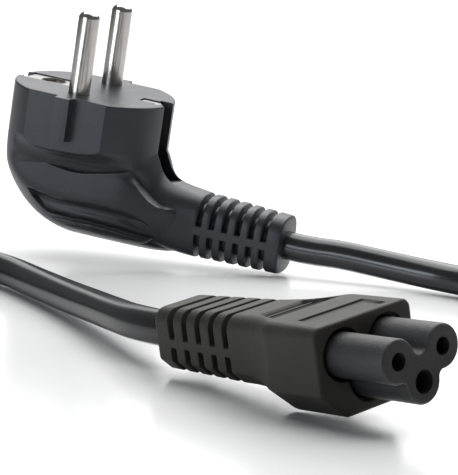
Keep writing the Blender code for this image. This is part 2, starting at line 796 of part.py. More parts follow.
def make_connector():
    place = empty("connector_place", CONNECTOR_FACE, CONNECTOR_TURN, CONNECTOR_DROP, CONNECTOR_LEAN)
    make_connector_body(place)
    make_nose(place)
    make_contact_sleeves(place)
    return place


# The cord


def smooth(points, step):
    """Points about one step apart on a smooth curve through the given ones.

    The curve is a centripetal Catmull-Rom spline: knots are spaced by the square root of the distance
    between points, and each stretch blends three straight runs into one another.
    """
    given = np.array(points, float)
    given = np.vstack([2 * given[0] - given[1], given, 2 * given[-1] - given[-2]])
    knots = np.concatenate([[0.0], np.cumsum(np.sqrt(np.linalg.norm(np.diff(given, axis=0), axis=1)))])
    fine = []
    for k in range(1, len(given) - 2):
        t0, t1, t2, t3 = knots[k - 1:k + 3]
        p0, p1, p2, p3 = given[k - 1:k + 3]
        t = np.linspace(t1, t2, 12, endpoint=False)[:, None]
        a1 = (t1 - t) / (t1 - t0) * p0 + (t - t0) / (t1 - t0) * p1
        a2 = (t2 - t) / (t2 - t1) * p1 + (t - t1) / (t2 - t1) * p2
        a3 = (t3 - t) / (t3 - t2) * p2 + (t - t2) / (t3 - t2) * p3
        b1 = (t2 - t) / (t2 - t0) * a1 + (t - t0) / (t2 - t0) * a2
        b2 = (t3 - t) / (t3 - t1) * a2 + (t - t1) / (t3 - t1) * a3
        fine.append((t2 - t) / (t2 - t1) * b1 + (t - t1) / (t2 - t1) * b2)
    fine = np.vstack(fine + [given[-2][None]])
    along = np.concatenate([[0.0], np.cumsum(np.linalg.norm(np.diff(fine, axis=0), axis=1))])
    count = max(2, int(round(along[-1] / step)) + 1)
    marks = np.linspace(0.0, along[-1], count)
    return np.stack([np.interp(marks, along, fine[:, axis]) for axis in range(3)], 1)


def local_point(carrier, point):
    """A point of one end, in the layout's coordinates."""
    turn = carrier.rotation_euler.to_matrix()
    world = turn @ Vector(point) + carrier.location / MM
    return (world.x + ZERO_X, world.y + ZERO_Y, world.z)


def make_cord_tube(name, points):
    """A stretch of cord as a bevelled curve with closed ends."""
    curve = bpy.data.curves.new(name, "CURVE")
    curve.dimensions = "3D"
    curve.bevel_depth = CORD_DIAMETER / 2 * MM
    curve.bevel_resolution = 3
    curve.use_fill_caps = True
    spline = curve.splines.new("POLY")
    spline.points.add(len(points) - 1)
    for target, (x, y, z) in zip(spline.points, points):
        target.co = ((x - ZERO_X) * MM, (y - ZERO_Y) * MM, z * MM, 1.0)
    tube = bpy.data.objects.new(name, curve)
    PARTS.objects.link(tube)
    curve.materials.append(finish(name + " jacket", (0.02, 0.02, 0.021), 0.3))
    return tube


def coil_radii():
    half = COIL_COLUMNS * CORD_DIAMETER / 2
    return COIL_MIDDLE_RADIUS - half, COIL_MIDDLE_RADIUS + half


def coil_floor():
    return TIE_THICKNESS + GAP


def coil_meeting(radius):
    """How far before it touches the coil tangentially a cord's end clears the coil's outer wall."""
    clear = coil_radii()[1] + GAP + CORD_DIAMETER / 2
    return math.sqrt(clear ** 2 - radius ** 2)


def make_coil():
    """The coiled turns as one turned ring, and the tie round them."""
    inner, outer = coil_radii()
    low = coil_floor()
    high = low + COIL_LAYERS * CORD_DIAMETER
    soft = CORD_DIAMETER * 0.3
    middle = (inner + outer) / 2
    half = (outer - inner) / 2
    outline = rounded([(half, high, soft), (-half, high, soft), (-half, low, soft), (half, low, soft)], 3)
    profile = [(middle + x, z) for x, z in reversed(outline)]
    place = (COIL_CENTRE[0] - ZERO_X, COIL_CENTRE[1] - ZERO_Y, 0.0)
    coil = turned("cord_coil", profile, place, None, steps=56, closed=True)
    coil.data.materials.append(finish("coil jacket", (0.02, 0.02, 0.021), 0.3))

    slack = GAP + TIE_WIDTH ** 2 / (8 * inner)
    hole = [(-half - slack, low - GAP), (half + GAP, low - GAP), (half + GAP, high + GAP),
            (-half - slack, high + GAP)]
    t = TIE_THICKNESS
    skin = [(-half - slack - t, low - GAP - t), (half + GAP + t, low - GAP - t), (half + GAP + t, high + GAP + t),
            (-half - slack - t, high + GAP + t)]
    ring_outline = rounded([(x, z, TIE_ROUND) for x, z in skin], 3)
    hole_outline = rounded([(x, z, TIE_ROUND - t) for x, z in hole], 3)[::-1]
    angle = math.radians(TIE_ANGLE)
    spot = (place[0] + middle * math.cos(angle), place[1] + middle * math.sin(angle), 0.0)
    upright = Matrix.Rotation(angle, 3, "Z") @ Matrix.Rotation(math.pi / 2, 3, "X")
    tie = slab("coil_tie", [ring_outline, hole_outline], TIE_WIDTH, spot, upright.to_euler(), None)
    tie.data.materials.append(finish("tie", (0.03, 0.03, 0.03), 0.6))


def make_cord(plug, connector):
    """The two uncoiled stretches, from each strain relief to the coil."""
    start = local_point(plug, (PLUG_BOOT_END + GAP, 0.0, -PLUG_BOOT_AXIS))
    straight = local_point(plug, (PLUG_BOOT_END + GAP + LEAD_OUT, 0.0, -PLUG_BOOT_AXIS))
    outer_turn = coil_radii()[1] - CORD_DIAMETER / 2
    reach = coil_meeting(outer_turn)
    bottom = coil_floor() + CORD_DIAMETER / 2
    top = bottom + (COIL_LAYERS - 1) * CORD_DIAMETER
    end = (COIL_CENTRE[0] + reach, COIL_CENTRE[1] - outer_turn, bottom)
    make_cord_tube("cord_plug_side", smooth([start, straight] + PLUG_SIDE_ROUTE + [end], TUBE_STEP))

    back = -NOSE_LENGTH - BOOT_END
    height = BOOT_AXIS - SOCKET_HEIGHT
    start = local_point(connector, (back - GAP, 0.0, height))
    straight = local_point(connector, (back - GAP - LEAD_OUT, 0.0, height))
    end = (COIL_CENTRE[0] - outer_turn, COIL_CENTRE[1] + reach, top)
    make_cord_tube("cord_connector_side", smooth([start, straight] + CONNECTOR_SIDE_ROUTE + [end], TUBE_STEP))


PLUG = make_plug()
CONNECTOR = make_connector()
bpy.context.view_layer.update()
make_coil()
make_cord(PLUG, CONNECTOR)
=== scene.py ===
# %% [markdown]
# A mains lead on a pale floor: an angled two-pin earthed plug behind, a cloverleaf connector in front, and
# the round black cord between them with its spare length coiled away beside the picture. The solid model
# gives every piece its place. Here each visible piece but the contact tubes and the coil tie is made again
# as a finer surface, because soft edges, crowned ribs and moulded recesses are what make black plastic
# readable at all.

# %% Load the frame
import math

import bmesh
import bpy
import numpy as np
from mathutils import Matrix, Vector


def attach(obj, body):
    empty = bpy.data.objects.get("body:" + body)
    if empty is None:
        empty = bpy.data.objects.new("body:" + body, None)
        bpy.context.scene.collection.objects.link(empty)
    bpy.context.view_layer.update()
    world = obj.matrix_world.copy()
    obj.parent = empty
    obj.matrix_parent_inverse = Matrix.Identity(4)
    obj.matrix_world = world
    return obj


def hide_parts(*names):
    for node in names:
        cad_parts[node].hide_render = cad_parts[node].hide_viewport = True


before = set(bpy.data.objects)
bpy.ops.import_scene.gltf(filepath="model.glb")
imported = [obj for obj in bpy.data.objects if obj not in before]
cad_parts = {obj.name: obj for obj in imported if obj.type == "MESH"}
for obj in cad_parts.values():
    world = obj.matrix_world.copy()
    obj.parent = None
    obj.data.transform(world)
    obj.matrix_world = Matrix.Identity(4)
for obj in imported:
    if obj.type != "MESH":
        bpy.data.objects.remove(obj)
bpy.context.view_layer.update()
MM = 0.001

# %% [markdown]
# Both ends of the lead are described in their own coordinates, in millimetres. The plug's start at the middle
# of its face, with X the way its cord leaves and Z out of the face. The connector's start between its two
# power sockets, with X straight out of the nose. Two matrices carry them to where they lie on the floor.

# %% Place both ends
LAYOUT_ORIGIN = Vector((50.19, -67.04, 0.0))


def carrier(place, turn, drop, lean):
    """Spin about Z, then dip X by drop, then roll about X by lean, and move to the place. Degrees and mm."""
    spin = Matrix.Rotation(math.radians(turn), 4, "Z")
    dip = Matrix.Rotation(math.radians(drop), 4, "Y")
    roll = Matrix.Rotation(math.radians(-lean), 4, "X")
    return np.array(Matrix.Translation(Vector(place) - LAYOUT_ORIGIN) @ spin @ dip @ roll)


PLUG = carrier((0.0, 0.0, 38.2), 0.0, 7.3, -3.8)
CONNECTOR = carrier((116.81, -145.70, 13.0), -29.5, -4.58, -10.17)


def placed(points, matrix):
    """Turn an array of local millimetre points into metres in the frame."""
    points = np.asarray(points, float)
    return (points @ matrix[:3, :3].T + matrix[:3, 3]) * MM


print("middle of the plug's face", placed((0.0, 0.0, 0.0), PLUG).round(4), "m")
print("middle of the nose's tip", placed((0.0, 0.0, 0.0), CONNECTOR).round(4), "m")

# %% [markdown]
# Nearly every piece is a grid: rows of points along one parameter, columns round the other. One helper puts
# such an array into a mesh, closes it round and caps its ends.

# %% Grid helper
JOIN_DISTANCE = 0.002 * MM


def shade(mesh, sharp):
    """Smooth shading that keeps a crease where faces meet at more than sharp degrees."""
    mesh.polygons.foreach_set("use_smooth", np.ones(len(mesh.polygons), bool))
    if sharp:
        mesh.set_sharp_from_angle(angle=math.radians(sharp))


def mesh_piece(name, mesh, sharp):
    """Link a mesh as an object, join its doubled points, turn its faces outwards and shade it."""
    piece = bpy.data.objects.new(name, mesh)
    bpy.context.scene.collection.objects.link(piece)
    work = bmesh.new()
    work.from_mesh(mesh)
    bmesh.ops.remove_doubles(work, verts=work.verts, dist=JOIN_DISTANCE)
    bmesh.ops.recalc_face_normals(work, faces=work.faces)
    work.to_mesh(mesh)
    work.free()
    shade(mesh, sharp)
    return piece


def grid_piece(name, points, closed=True, sharp=None):
    """A mesh from an array of rows x columns x 3, in metres.

    A closed one joins its last column to its first, and has a cap on its first and its last row.
    """
    rows, columns = points.shape[:2]
    index = np.arange(rows * columns).reshape(rows, columns)
    beside = np.roll(index, -1, 1)
    faces = np.stack([index[:-1], beside[:-1], beside[1:], index[1:]], -1)
    if not closed:
        faces = faces[:, :-1]
    faces = faces.reshape(-1, 4).tolist()
    if closed:
        faces += [index[0][::-1].tolist(), index[-1].tolist()]
    mesh = bpy.data.meshes.new(name)
    mesh.from_pydata(points.reshape(-1, 3).tolist(), [], faces)
    return mesh_piece(name, mesh, sharp)


# %% [markdown]
# Round pieces are turned: a profile of radius and height spun round an axis. Openings are cut with closed
# boxes and rods, which are removed once they have done their work.

# %% Turning and cutting
LATHE_STEPS = 64
ROD_SIDES = 40


def spun(profile, place, axis, matrix, steps):
    """Points of a profile of (radius, height) spun round a local axis.

    Across the axis: place + radius x (cos, sin), where place has the two values across. Along it: height.
    """
    profile = np.array(profile, float)
    angle = np.linspace(0, math.tau, steps, endpoint=False)[None]
    rows = np.zeros((len(profile), steps, 3))
    first, second = [k for k in range(3) if k != axis]
    rows[..., first] = place[0] + profile[:, :1] * np.cos(angle)
    rows[..., second] = place[1] + profile[:, :1] * np.sin(angle)
    rows[..., axis] = profile[:, 1:]
    return placed(rows, matrix)


def rod_tool(radius, low, high, place, axis, matrix):
    """A closed cylinder along one local axis, as a cutting tool."""
    return grid_piece("tool", spun([(radius, low), (radius, high)], place, axis, matrix, ROD_SIDES))


def box_tool(low, high, matrix):
    """A closed box between two local corners, as a cutting tool: a grid of four columns with capped ends."""
    (x0, y0, z0), (x1, y1, z1) = low, high
    ring = np.array([(x0, y0), (x1, y0), (x1, y1), (x0, y1)], float)
    rows = [np.column_stack([ring, np.full(4, z)]) for z in (z0, z1)]
    return grid_piece("tool", placed(np.array(rows), matrix))


def carve(piece, tools, sharp=30):
    """Cut closed tools out of a piece, keep the result as its mesh and remove the tools."""
    for tool in tools:
        knife = piece.modifiers.new("cut", "BOOLEAN")
        knife.operation = "DIFFERENCE"
        knife.solver = "EXACT"
        knife.object = tool
    graph = bpy.context.evaluated_depsgraph_get()
    mesh = bpy.data.meshes.new_from_object(piece.evaluated_get(graph))
    piece.modifiers.clear()
    piece.data = mesh
    shade(mesh, sharp)
    for tool in tools:
        bpy.data.objects.remove(tool, do_unlink=True)
    print(piece.name, "cut by", len(tools), "tools")


# %% Soft steps
def step(x, low, high):
    """0 below low, 1 above high, with a smooth 3t^2 - 2t^3 rise between."""
    t = np.clip((np.asarray(x, float) - low) / (high - low), 0.0, 1.0)
    return t * t * (3 - 2 * t)


def inside(x, low, high, soft):
    """1 between low and high, falling to 0 over a width of soft outside them."""
    return step(x, low - soft, low) * (1 - step(x, high, high + soft))


def squared(value, power):
    """A sine or cosine for a squared ellipse: its size to the power 2 / power, with its own sign."""
    return np.sign(value) * np.abs(value) ** (2 / power)


# %% [markdown]
# Shader maths is written as Python expressions. The class wraps a socket, and each operator adds one Math
# node, so a mix of noises reads like a formula.

# %% Shader helper
class Field:
    """A socket of a node tree that can be added and multiplied."""

    def __init__(self, tree, socket):
        self.tree = tree
        self.socket = socket

    def math(self, operation, other):
        """One Math node on this socket and another field or a number."""
        made = make_node(self.tree, "ShaderNodeMath", {"operation": operation}, {"0": self, "1": other})
        return Field(self.tree, made.outputs[0])

    def __add__(self, other):
        return self.math("ADD", other)

    def __mul__(self, other):
        return self.math("MULTIPLY", other)

    __radd__ = __add__
    __rmul__ = __mul__


def make_node(tree, kind, settings, inputs):
    """Add a node: its settings first, then the value or link of each named or numbered input."""
    made = tree.nodes.new(kind)
    for key, value in settings.items():
        setattr(made, key, value)
    for key, value in inputs.items():
        socket = made.inputs[int(key) if key.isdigit() else key]
        if isinstance(value, Field):
            value = value.socket
        if isinstance(value, bpy.types.NodeSocket):
            tree.links.new(value, socket)
        else:
            socket.default_value = value
    return made


class Finish:
    """A Principled material with helpers for noise in object space."""

    def __init__(self, name, **constants):
        self.material = bpy.data.materials.new(name)
        self.material.use_nodes = True
        self.tree = self.material.node_tree
        self.shader = self.tree.nodes["Principled BSDF"]
        self.coordinates = make_node(self.tree, "ShaderNodeTexCoord", {}, {}).outputs["Object"]
        for key, value in constants.items():
            self.shader.inputs[key.replace("_", " ")].default_value = value

    def noise(self, size, detail, rough=0.5):
        """Noise with features about size millimetres across, from 0 to 1."""
        made = make_node(self.tree, "ShaderNodeTexNoise", {}, {
            "Vector": self.coordinates, "Scale": 1.0 / (size * MM), "Detail": detail, "Roughness": rough})
        return Field(self.tree, made.outputs["Fac"])

    def color(self, field, first, second):
        """Base Color mixed between two colours by a field."""
        mix = make_node(self.tree, "ShaderNodeMix", {"data_type": "RGBA"}, {"0": field})
        mix.inputs["A"].default_value = (*first, 1.0)
        mix.inputs["B"].default_value = (*second, 1.0)
        self.tree.links.new(mix.outputs["Result"], self.shader.inputs["Base Color"])

    def rough(self, field):
        """Roughness from a field."""
        self.tree.links.new(field.socket, self.shader.inputs["Roughness"])

    def bump(self, field, height):
        """Relief of the given height in millimetres."""
        made = make_node(self.tree, "ShaderNodeBump", {}, {
            "Height": field, "Distance": height * MM, "Strength": 1.0})
        self.tree.links.new(made.outputs["Normal"], self.shader.inputs["Normal"])


# %% [markdown]
# Black plastic is all in the gloss. The plug is a semi-gloss moulding with a fine spark-eroded grain, the
# connector is duller and grainier, so that light breaks into sparkle on it, and the cord's jacket is smooth
# and glossy. The pins are polished nickel, the earth contact is duller sheet. Every finish is one recipe with
# its own numbers: a fine grain for the relief, and a slow cloud that colour and gloss wander with.

# %% Finishes
def mottled(name, cloud, grain, share, colors, gloss, relief, **constants):
    """A finish of two noises, each given as size in mm, detail and roughness.

    Without a grain the cloud serves as both. Colour: a mix by cloud x share + grain x (1 - share).
    Roughness: gloss[0] + cloud x gloss[1] + grain x gloss[2]. Relief: the grain's height in mm.
    """
    finish = Finish(name, **constants)
    slow = finish.noise(*cloud)
    fine = finish.noise(*grain) if grain else slow
    finish.color(slow * share + fine * (1 - share), *colors)
    finish.rough(gloss[0] + slow * gloss[1] + fine * gloss[2])
    if relief:
        finish.bump(fine, relief)
    print("finish", name)
    return finish.material


PLUG_PLASTIC = mottled("plug moulding", (9.0, 2.0), (0.35, 3.0, 0.6), 0.6,
                       ((0.010, 0.011, 0.014), (0.024, 0.027, 0.034)), (0.30, 0.10, 0.12), 0.05,
                       IOR=1.5, Specular_IOR_Level=0.36)
CONNECTOR_PLASTIC = mottled("connector moulding", (7.0, 2.0), (0.28, 2.0, 0.7), 0.5,
                            ((0.014, 0.0135, 0.011), (0.042, 0.040, 0.034)), (0.36, 0.12, 0.16), 0.09,
                            IOR=1.5, Specular_IOR_Level=0.2)
NOSE_PLASTIC = mottled("nose moulding", (5.0, 2.0), (0.25, 2.0, 0.7), 0.4,
                       ((0.008, 0.008, 0.009), (0.024, 0.024, 0.025)), (0.30, 0.10, 0.20), 0.12,
                       IOR=1.5, Specular_IOR_Level=0.5)
CORD_PLASTIC = mottled("cord jacket", (14.0, 1.0), (1.2, 1.0), 1.0,
                       ((0.009, 0.010, 0.011), (0.017, 0.018, 0.020)), (0.16, 0.08, 0.03), 0.006,
                       IOR=1.5, Specular_IOR_Level=0.5)
TIE_PLASTIC = mottled("tie", (0.5, 2.0, 0.7), None, 1.0,
                      ((0.020, 0.020, 0.020), (0.045, 0.045, 0.045)), (0.5, 0.2, 0.0), 0.08, IOR=1.5)
NICKEL = mottled("nickel plate", (4.0, 3.0), (0.25, 2.0, 0.6), 1.0,
                 ((0.40, 0.385, 0.36), (0.54, 0.525, 0.50)), (0.13, 0.08, 0.04), 0.01, Metallic=1.0)
SHEET_NICKEL = mottled("sheet nickel", (3.0, 3.0), (0.4, 2.0, 0.6), 1.0,
                       ((0.20, 0.196, 0.19), (0.27, 0.265, 0.255)), (0.36, 0.10, 0.06), 0.015, Metallic=1.0)
# Contact nickel is much darker than plated nickel. This is painted shade for the contact tubes deep in the
# nose's sockets, and the earth eyelet shares it.
SHADE_DARKENED_NICKEL = mottled("contact nickel with painted shade", (1.5, 3.0), None, 1.0,
                      ((0.10, 0.095, 0.085), (0.22, 0.21, 0.19)), (0.35, 0.2, 0.0), 0.0, Metallic=1.0)


# %% Dress a piece
def paint(piece, material):
    """Make a material the only one on a piece."""
    piece.data.materials.clear()
    piece.data.materials.append(material)


def wear(piece, material, slot, *nodes):
    """Give a piece its finish, hang it under the root, and hide the solids that it stands in for."""
    paint(piece, material)
    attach(piece, "root")
    if nodes:
        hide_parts(*nodes)
    print(piece.name, f"{len(piece.data.polygons)} faces" if piece.type == "MESH" else "one curve")


# %% [markdown]
# The plug's head and handle are one moulding. Seen from the pins it is a drum, cut flat on the two pin
# sides with a locating rib left standing on each flat. Below the drum the section draws in to a thumb-shaped
# handle with a raised panel on each side, a finger recess in the panel and a rounded heel. So the surface is
# a stack of sections, one for each depth below the face. Each is a squared ellipse whose left and right
# reach, half width and power change with the depth. Its sides are then held to the flats, the cove under the
# drum and the panel, and the finger recess is pressed in.

# %% Plug head and handle
HEAD_RADIUS = 18.35
CHORD_OFFSET = 15.8
RIB = (-2.0, 1.6)
RIB_HEIGHT = 4.0
RIB_DEPTH = 9.6
DRUM_DEPTH = 10.5
PLUG_DEPTH = 33.5


def soft_least(a, b, width):
    """The smaller of two values, with a rounded corner between: (a + b - sqrt((a - b)^2 + w^2)) / 2."""
    return (a + b - np.sqrt((a - b) ** 2 + width ** 2)) / 2


def plug_section(depth):
    """Left and right reach, half width and power at each depth, read between listed sections."""
    r = HEAD_RADIUS
    marks = np.array([0.0, 13.0, 15.4, 16.8, 18.2, 20.0, 22.5, 25.0, 27.5, 29.5, 31.0, 32.2, 33.0,
                      PLUG_DEPTH])
    left = np.array([r, r, 18.25, 18.1, 17.9, 17.4, 16.4, 15.0, 12.9, 10.4, 7.6, 4.4, 1.2, 0.4])
    right = np.array([r, r, r, 19.6, 22.8, 26.2, 28.3, 28.7, 28.7, 28.5, 27.6, 26.4, 24.0, 20.5])
    half = np.array([r, r, r, r, r, 17.5, 15.5, 13.2, 11.3, 9.8, 8.2, 5.9, 3.6, 1.8])
    power = np.array([2.0, 2.0, 2.0, 2.0, 2.1, 2.3, 2.4, 2.5, 2.5, 2.5, 2.5, 2.4, 2.3, 2.2])
    return [np.interp(depth, marks, row)[:, None] for row in (left, right, half, power)]


def smooth_rows(values, turns):
    """Average neighbouring rows a few times, which rounds the joints between listed sections."""
    for _ in range(turns):
        inner = (values[:-2] + 2 * values[1:-1] + values[2:]) / 4
        values = np.concatenate([values[:1], inner, values[-1:]])
    return values


def blended(x, marks, heights, width=1.2):
    """A polyline whose corners are rounded: the mean of seven readings, shifted over a sliding width."""
    return sum(np.interp(x + shift, marks, heights) for shift in np.linspace(-width / 2, width / 2, 7)) / 7


# %% Finger recess
RECESS_X = [-8.6, -4.3, -0.5, 6.8, 14.2, 18.0, 20.9, 22.6]
RECESS_TOP = [22.3, 23.0, 23.5, 23.1, 23.0, 23.8, 25.6, 28.3]
RECESS_FOOT = [23.6, 24.4, 25.0, 25.1, 25.2, 26.2, 27.2, 28.5]
RECESS_END = [25.4, 27.3, 27.5, 27.3, 27.7, 28.3, 28.6, 28.7]


def finger_recess(x, depth):
    """How deep the finger recess is: a steep wall under its upper edge, then a bank that climbs to a crease.

    Wall and bank each run from 0 to 1 going down, and the depth is 2.2 x the wall's soft step less 1.35 x the
    bank's. Two fine lines follow the crease below it.
    """
    top, foot, end = [blended(x, RECESS_X, row) for row in (RECESS_TOP, RECESS_FOOT, RECESS_END)]
    wall = np.clip((depth - top) / (foot - top), 0, 1)
    bank = np.clip((depth - foot) / (end - foot), 0, 1)
    rim = np.interp(depth, [22.0, 24.8, 26.8, 28.4], [-8.8, -7.4, -5.4, -3.0])
    seen = step(x, rim, rim + 1.4) * (1 - step(x, 21.2, 22.8))
    pressed = 2.2 * step(wall, 0.0, 1.0) - 1.35 * step(bank, 0.05, 1.0)
    pressed = pressed * (1 - step(depth, end - 0.1, end + 0.5))
    crease = 0.95 * (1 - step(np.abs(depth - end - 0.15), 0.1, 0.5))
    lower = 0.35 * (1 - step(np.abs(depth - end - 1.5), 0.1, 0.5)) * inside(x, -1.0, 17.0, 2.0)
    third = 0.30 * (1 - step(np.abs(depth - end - 2.6), 0.1, 0.5)) * inside(x, 3.0, 14.0, 2.0)
    return np.maximum(pressed * seen, np.maximum(crease * seen, np.maximum(lower, third)))


# %% Plug shell
PANEL_X = [-18.0, -12.0, -7.0, -4.0, -1.8, 1.9, 4.8, 9.8, 13.0, 15.1, 15.9, 17.7, 20.2, 22.3, 25.7, 28.3,
           29.3, 29.7]
PANEL_TOP = [19.5, 17.5, 16.3, 16.3, 16.5, 16.9, 16.7, 15.7, 14.9, 14.3, 15.6, 17.8, 19.9, 21.0, 21.3, 21.6,
             23.0, 30.0]
LIFT_X = [-18.0, -8.0, 0.0, 8.0, 14.0, 20.0, 26.0, 30.0]
LIFT = [13.8, 13.2, 12.6, 12.2, 11.8, 10.4, 8.6, 7.6]
COVE_DEPTH = [10.7, 11.4, 12.1, 13.0, 14.2, 15.4, 17.4]
COVE_SHARE = [1.0, 0.87, 0.68, 0.42, 0.20, 0.07, 0.0]
NECK_X = [14.0, 15.5, 17.0, 20.0, 24.0, 31.0]
NECK_HALF = [10.9, 9.4, 7.8, 5.6, 4.4, 4.0]
PLUG_COLUMNS = 448
FACE_EDGE = ((0.5, 0.0), (0.3, 0.04), (0.12, 0.14), (0.03, 0.3))
HEEL_SHARES = (0.75, 0.5, 0.25, 0.08)


def side_limit(x, depth):
    """How far the sides reach: the drum's cove, the neck and the raised panel, each from x and depth.

    The cove is foot + (drum - foot) x share: it runs in from the drum to the handle and fades to the left. To
    the right it gives way to the neck. The panel lies over both, wherever its cover is 1.
    """
    lift = blended(x, LIFT_X, LIFT, 3.0)
    foot = lift - blended(x, [-7.0, 1.0, 14.0], [0.0, 1.1, 1.3], 3.0)
    share = np.interp(depth, COVE_DEPTH, COVE_SHARE)
    drum = np.sqrt(np.maximum(HEAD_RADIUS ** 2 - x ** 2, foot ** 2))
    cove = foot + (drum - foot) * share
    neck = blended(x, NECK_X, NECK_HALF, 1.0)
    drawn_in = step(x, 13.4, 15.2) * step(depth, 13.0, 16.0)
    cove = np.minimum(cove, HEAD_RADIUS - (HEAD_RADIUS - neck) * drawn_in)
    lift = lift + 0.06 * (np.clip(depth, 16, 25) - 18)
    edge = blended(x, PANEL_X, PANEL_TOP, 0.6)
    cover = step(depth, edge - 0.1, edge + 0.4) * (1 - step(x, 28.6, 29.6))
    cover = cover * (1 - step(depth - 28.2 - 3.0 * (1 - step(x, 18.0, 24.0)), -0.4, 0.4))
    return cove * (1 - cover) + lift * cover


def plug_shell():
    """Rows of points from the face's rounded edge down to the closed heel.

    x = reach x |cos|^(2 / power) and y = half width x |sin|^(2 / power), each with its own sign. The size of
    y is held to the flats and ribs, below the drum to the soft least of itself and side_limit, and the finger
    recess is taken off it wherever the handle isn't thin.
    """
    depths = np.concatenate([
        np.linspace(0.5, 8.8, 30, endpoint=False), np.linspace(8.8, 12.0, 26, endpoint=False),
        np.linspace(12.0, 33.0, 140, endpoint=False), np.linspace(33.0, PLUG_DEPTH, 5)])
    angle = np.linspace(0, math.tau, PLUG_COLUMNS, endpoint=False)[None]
    left, right, half, power = [smooth_rows(row, 24) for row in plug_section(depths)]
    cosine, sine = np.cos(angle), np.sin(angle)
    power = np.where(cosine > 0, power, 2.0)
    x = np.where(cosine > 0, right, left) * squared(cosine, power)
    y = half * squared(sine, power)
    depth = depths[:, None] + 0 * x
    rib = inside(x, RIB[0], RIB[1], 0.25) * (1 - step(depth, RIB_DEPTH, RIB_DEPTH + 0.3))
    reach = np.minimum(np.abs(y), CHORD_OFFSET + RIB_HEIGHT * rib)
    rounding = 1.2 * step(depth, 12.6, 16.0)
    held = soft_least(reach, side_limit(x, depth), rounding)
    reach = np.where(depth > DRUM_DEPTH, held, reach)
    thick = step(reach, 3.5, 7.0)
    y = np.sign(y) * (np.maximum(reach, 0.0) - finger_recess(x, depth) * thick)

    top = []
    for inset, down in FACE_EDGE:
        shrink = 1 - inset / HEAD_RADIUS
        top.append(np.stack([x[0] * shrink, y[0] * shrink, np.full(x.shape[1], -down)], -1))
    body = np.stack([x, y, -depth], -1)
    heel = []
    middle = body[-1].mean(0)
    for share in HEEL_SHARES:
        ring = middle + (body[-1] - middle) * share
        ring[:, 2] = -PLUG_DEPTH - 0.12 * (1 - share ** 2)
        heel.append(ring)
    return np.concatenate([np.array(top), body, np.array(heel)])


head = grid_piece("plug_head", placed(plug_shell(), PLUG))

# %% [markdown]
# The face is open where metal shows: a seat for the earth strip, a seat for the small tab, a channel down
# each side for the clips, the earth hole and a hole for each pin. Straight cuts like these are quickest as
# cutting tools.

# %% Plug face openings
STRIP_SEAT = 0.95
LEFT_SEAT = 16.5
RIGHT_SEAT = 15.2
CHANNEL_FOOT = 3.4
CHANNEL_BEND = -14.3
CHANNEL_FLOOR = -16.9
CHANNEL_OUT = 23.8
CHANNEL_HALF = 2.7
ABOVE_FACE = 2.0
PIN_OFFSET = 9.5
PIN_HOLE_RADIUS = 2.45
EARTH_PLACE = (-10.4, 0.0)
EARTH_HOLE_RADIUS = 2.95


def slab_tool(outline, half, matrix):
    """A closed prism: an outline in local X and Z, carried from -half to half along Y, as a cutting tool."""
    x, z = np.array(outline, float).T
    rows = [np.column_stack([x, np.full(len(x), across), z]) for across in (-half, half)]
    return grid_piece("tool", placed(np.array(rows), matrix))


def right_channel():
    """Down beside the seat, round a quarter circle at its foot, and out along the neck to daylight.

    The quarter circle is centre + CHANNEL_FOOT x (cos, sin), from 180 to 270 degrees.
    """
    turn = np.radians(np.linspace(180, 270, 12))
    foot = [(RIGHT_SEAT + CHANNEL_FOOT * (1 + math.cos(a)), CHANNEL_BEND + CHANNEL_FOOT * math.sin(a))
            for a in turn]
    outline = [(CHANNEL_OUT, ABOVE_FACE), (RIGHT_SEAT, ABOVE_FACE), *foot, (CHANNEL_OUT, CHANNEL_FLOOR)]
    return slab_tool(outline, CHANNEL_HALF, PLUG)


def plug_cuts():
    """The strip's seat, the tab's seat, the left and right channel, the earth hole and the two pin holes."""
    tools = [
        box_tool((-LEFT_SEAT - 0.3, -3.4, -STRIP_SEAT), (-4.4, 3.4, ABOVE_FACE), PLUG),
        box_tool((11.4, -1.6, -STRIP_SEAT), (RIGHT_SEAT + 0.3, 1.6, ABOVE_FACE), PLUG),
        box_tool((-24.0, -2.6, -14.6), (-LEFT_SEAT, 2.6, ABOVE_FACE), PLUG),
        right_channel(),
        rod_tool(EARTH_HOLE_RADIUS, -14.0, ABOVE_FACE, EARTH_PLACE, 2, PLUG)]
    for side in (-1, 1):
        tools.append(rod_tool(PIN_HOLE_RADIUS, -6.0, ABOVE_FACE, (0.0, side * PIN_OFFSET), 2, PLUG))
    return tools


carve(head, plug_cuts(), sharp=20)
wear(head, PLUG_PLASTIC, "plug moulding", "plug_body")

# %% [markdown]
# The strain relief is a tapered bar. Slots run round its upper and lower halves and leave a spine along each
# side. A real one is moulded with the handle, so its first sections spread sideways and rise into the drum
# as a round cove. It is a squared ellipse carried along X. The slots are pressed in, and the edges of the
# ribs between them are rounded a little.

# %% Strain relief helper
SLOT_WIDTH = 1.4
SLOT_EDGE = 0.2
ROW_GAP = 0.04


def relief_angles(half_height, spine, power, count):
    """Angles of a squared ellipse, with pairs on each edge of the two side spines."""
    edge = math.asin((spine / half_height) ** (power / 2))
    quarter = np.linspace(edge + 0.08, math.pi / 2, count // 4, endpoint=False)
    quarter = np.concatenate([[0.0, edge * 0.5, edge, edge + 0.03], quarter])
    upper = np.concatenate([quarter, [math.pi / 2], (math.pi - quarter)[::-1][:-1]])
    return np.concatenate([upper, upper + math.pi])


def thinned(rows):
    """Stations in order, without those that follow another too closely."""
    rows = np.sort(np.concatenate(rows))
    return rows[np.concatenate([[True], np.diff(rows) > ROW_GAP])]


def relief_rows(start, end, places):
    """Stations along the bar: an even run, with extra ones at both edges of every slot."""
    half = SLOT_WIDTH / 2
    marks = (0.0, half - 0.1, half, half + SLOT_EDGE / 2, half + SLOT_EDGE)
    edges = [np.array(places) + side * mark for mark in marks for side in (-1, 1)]
    return thinned([np.arange(start, end, 0.6)] + edges)


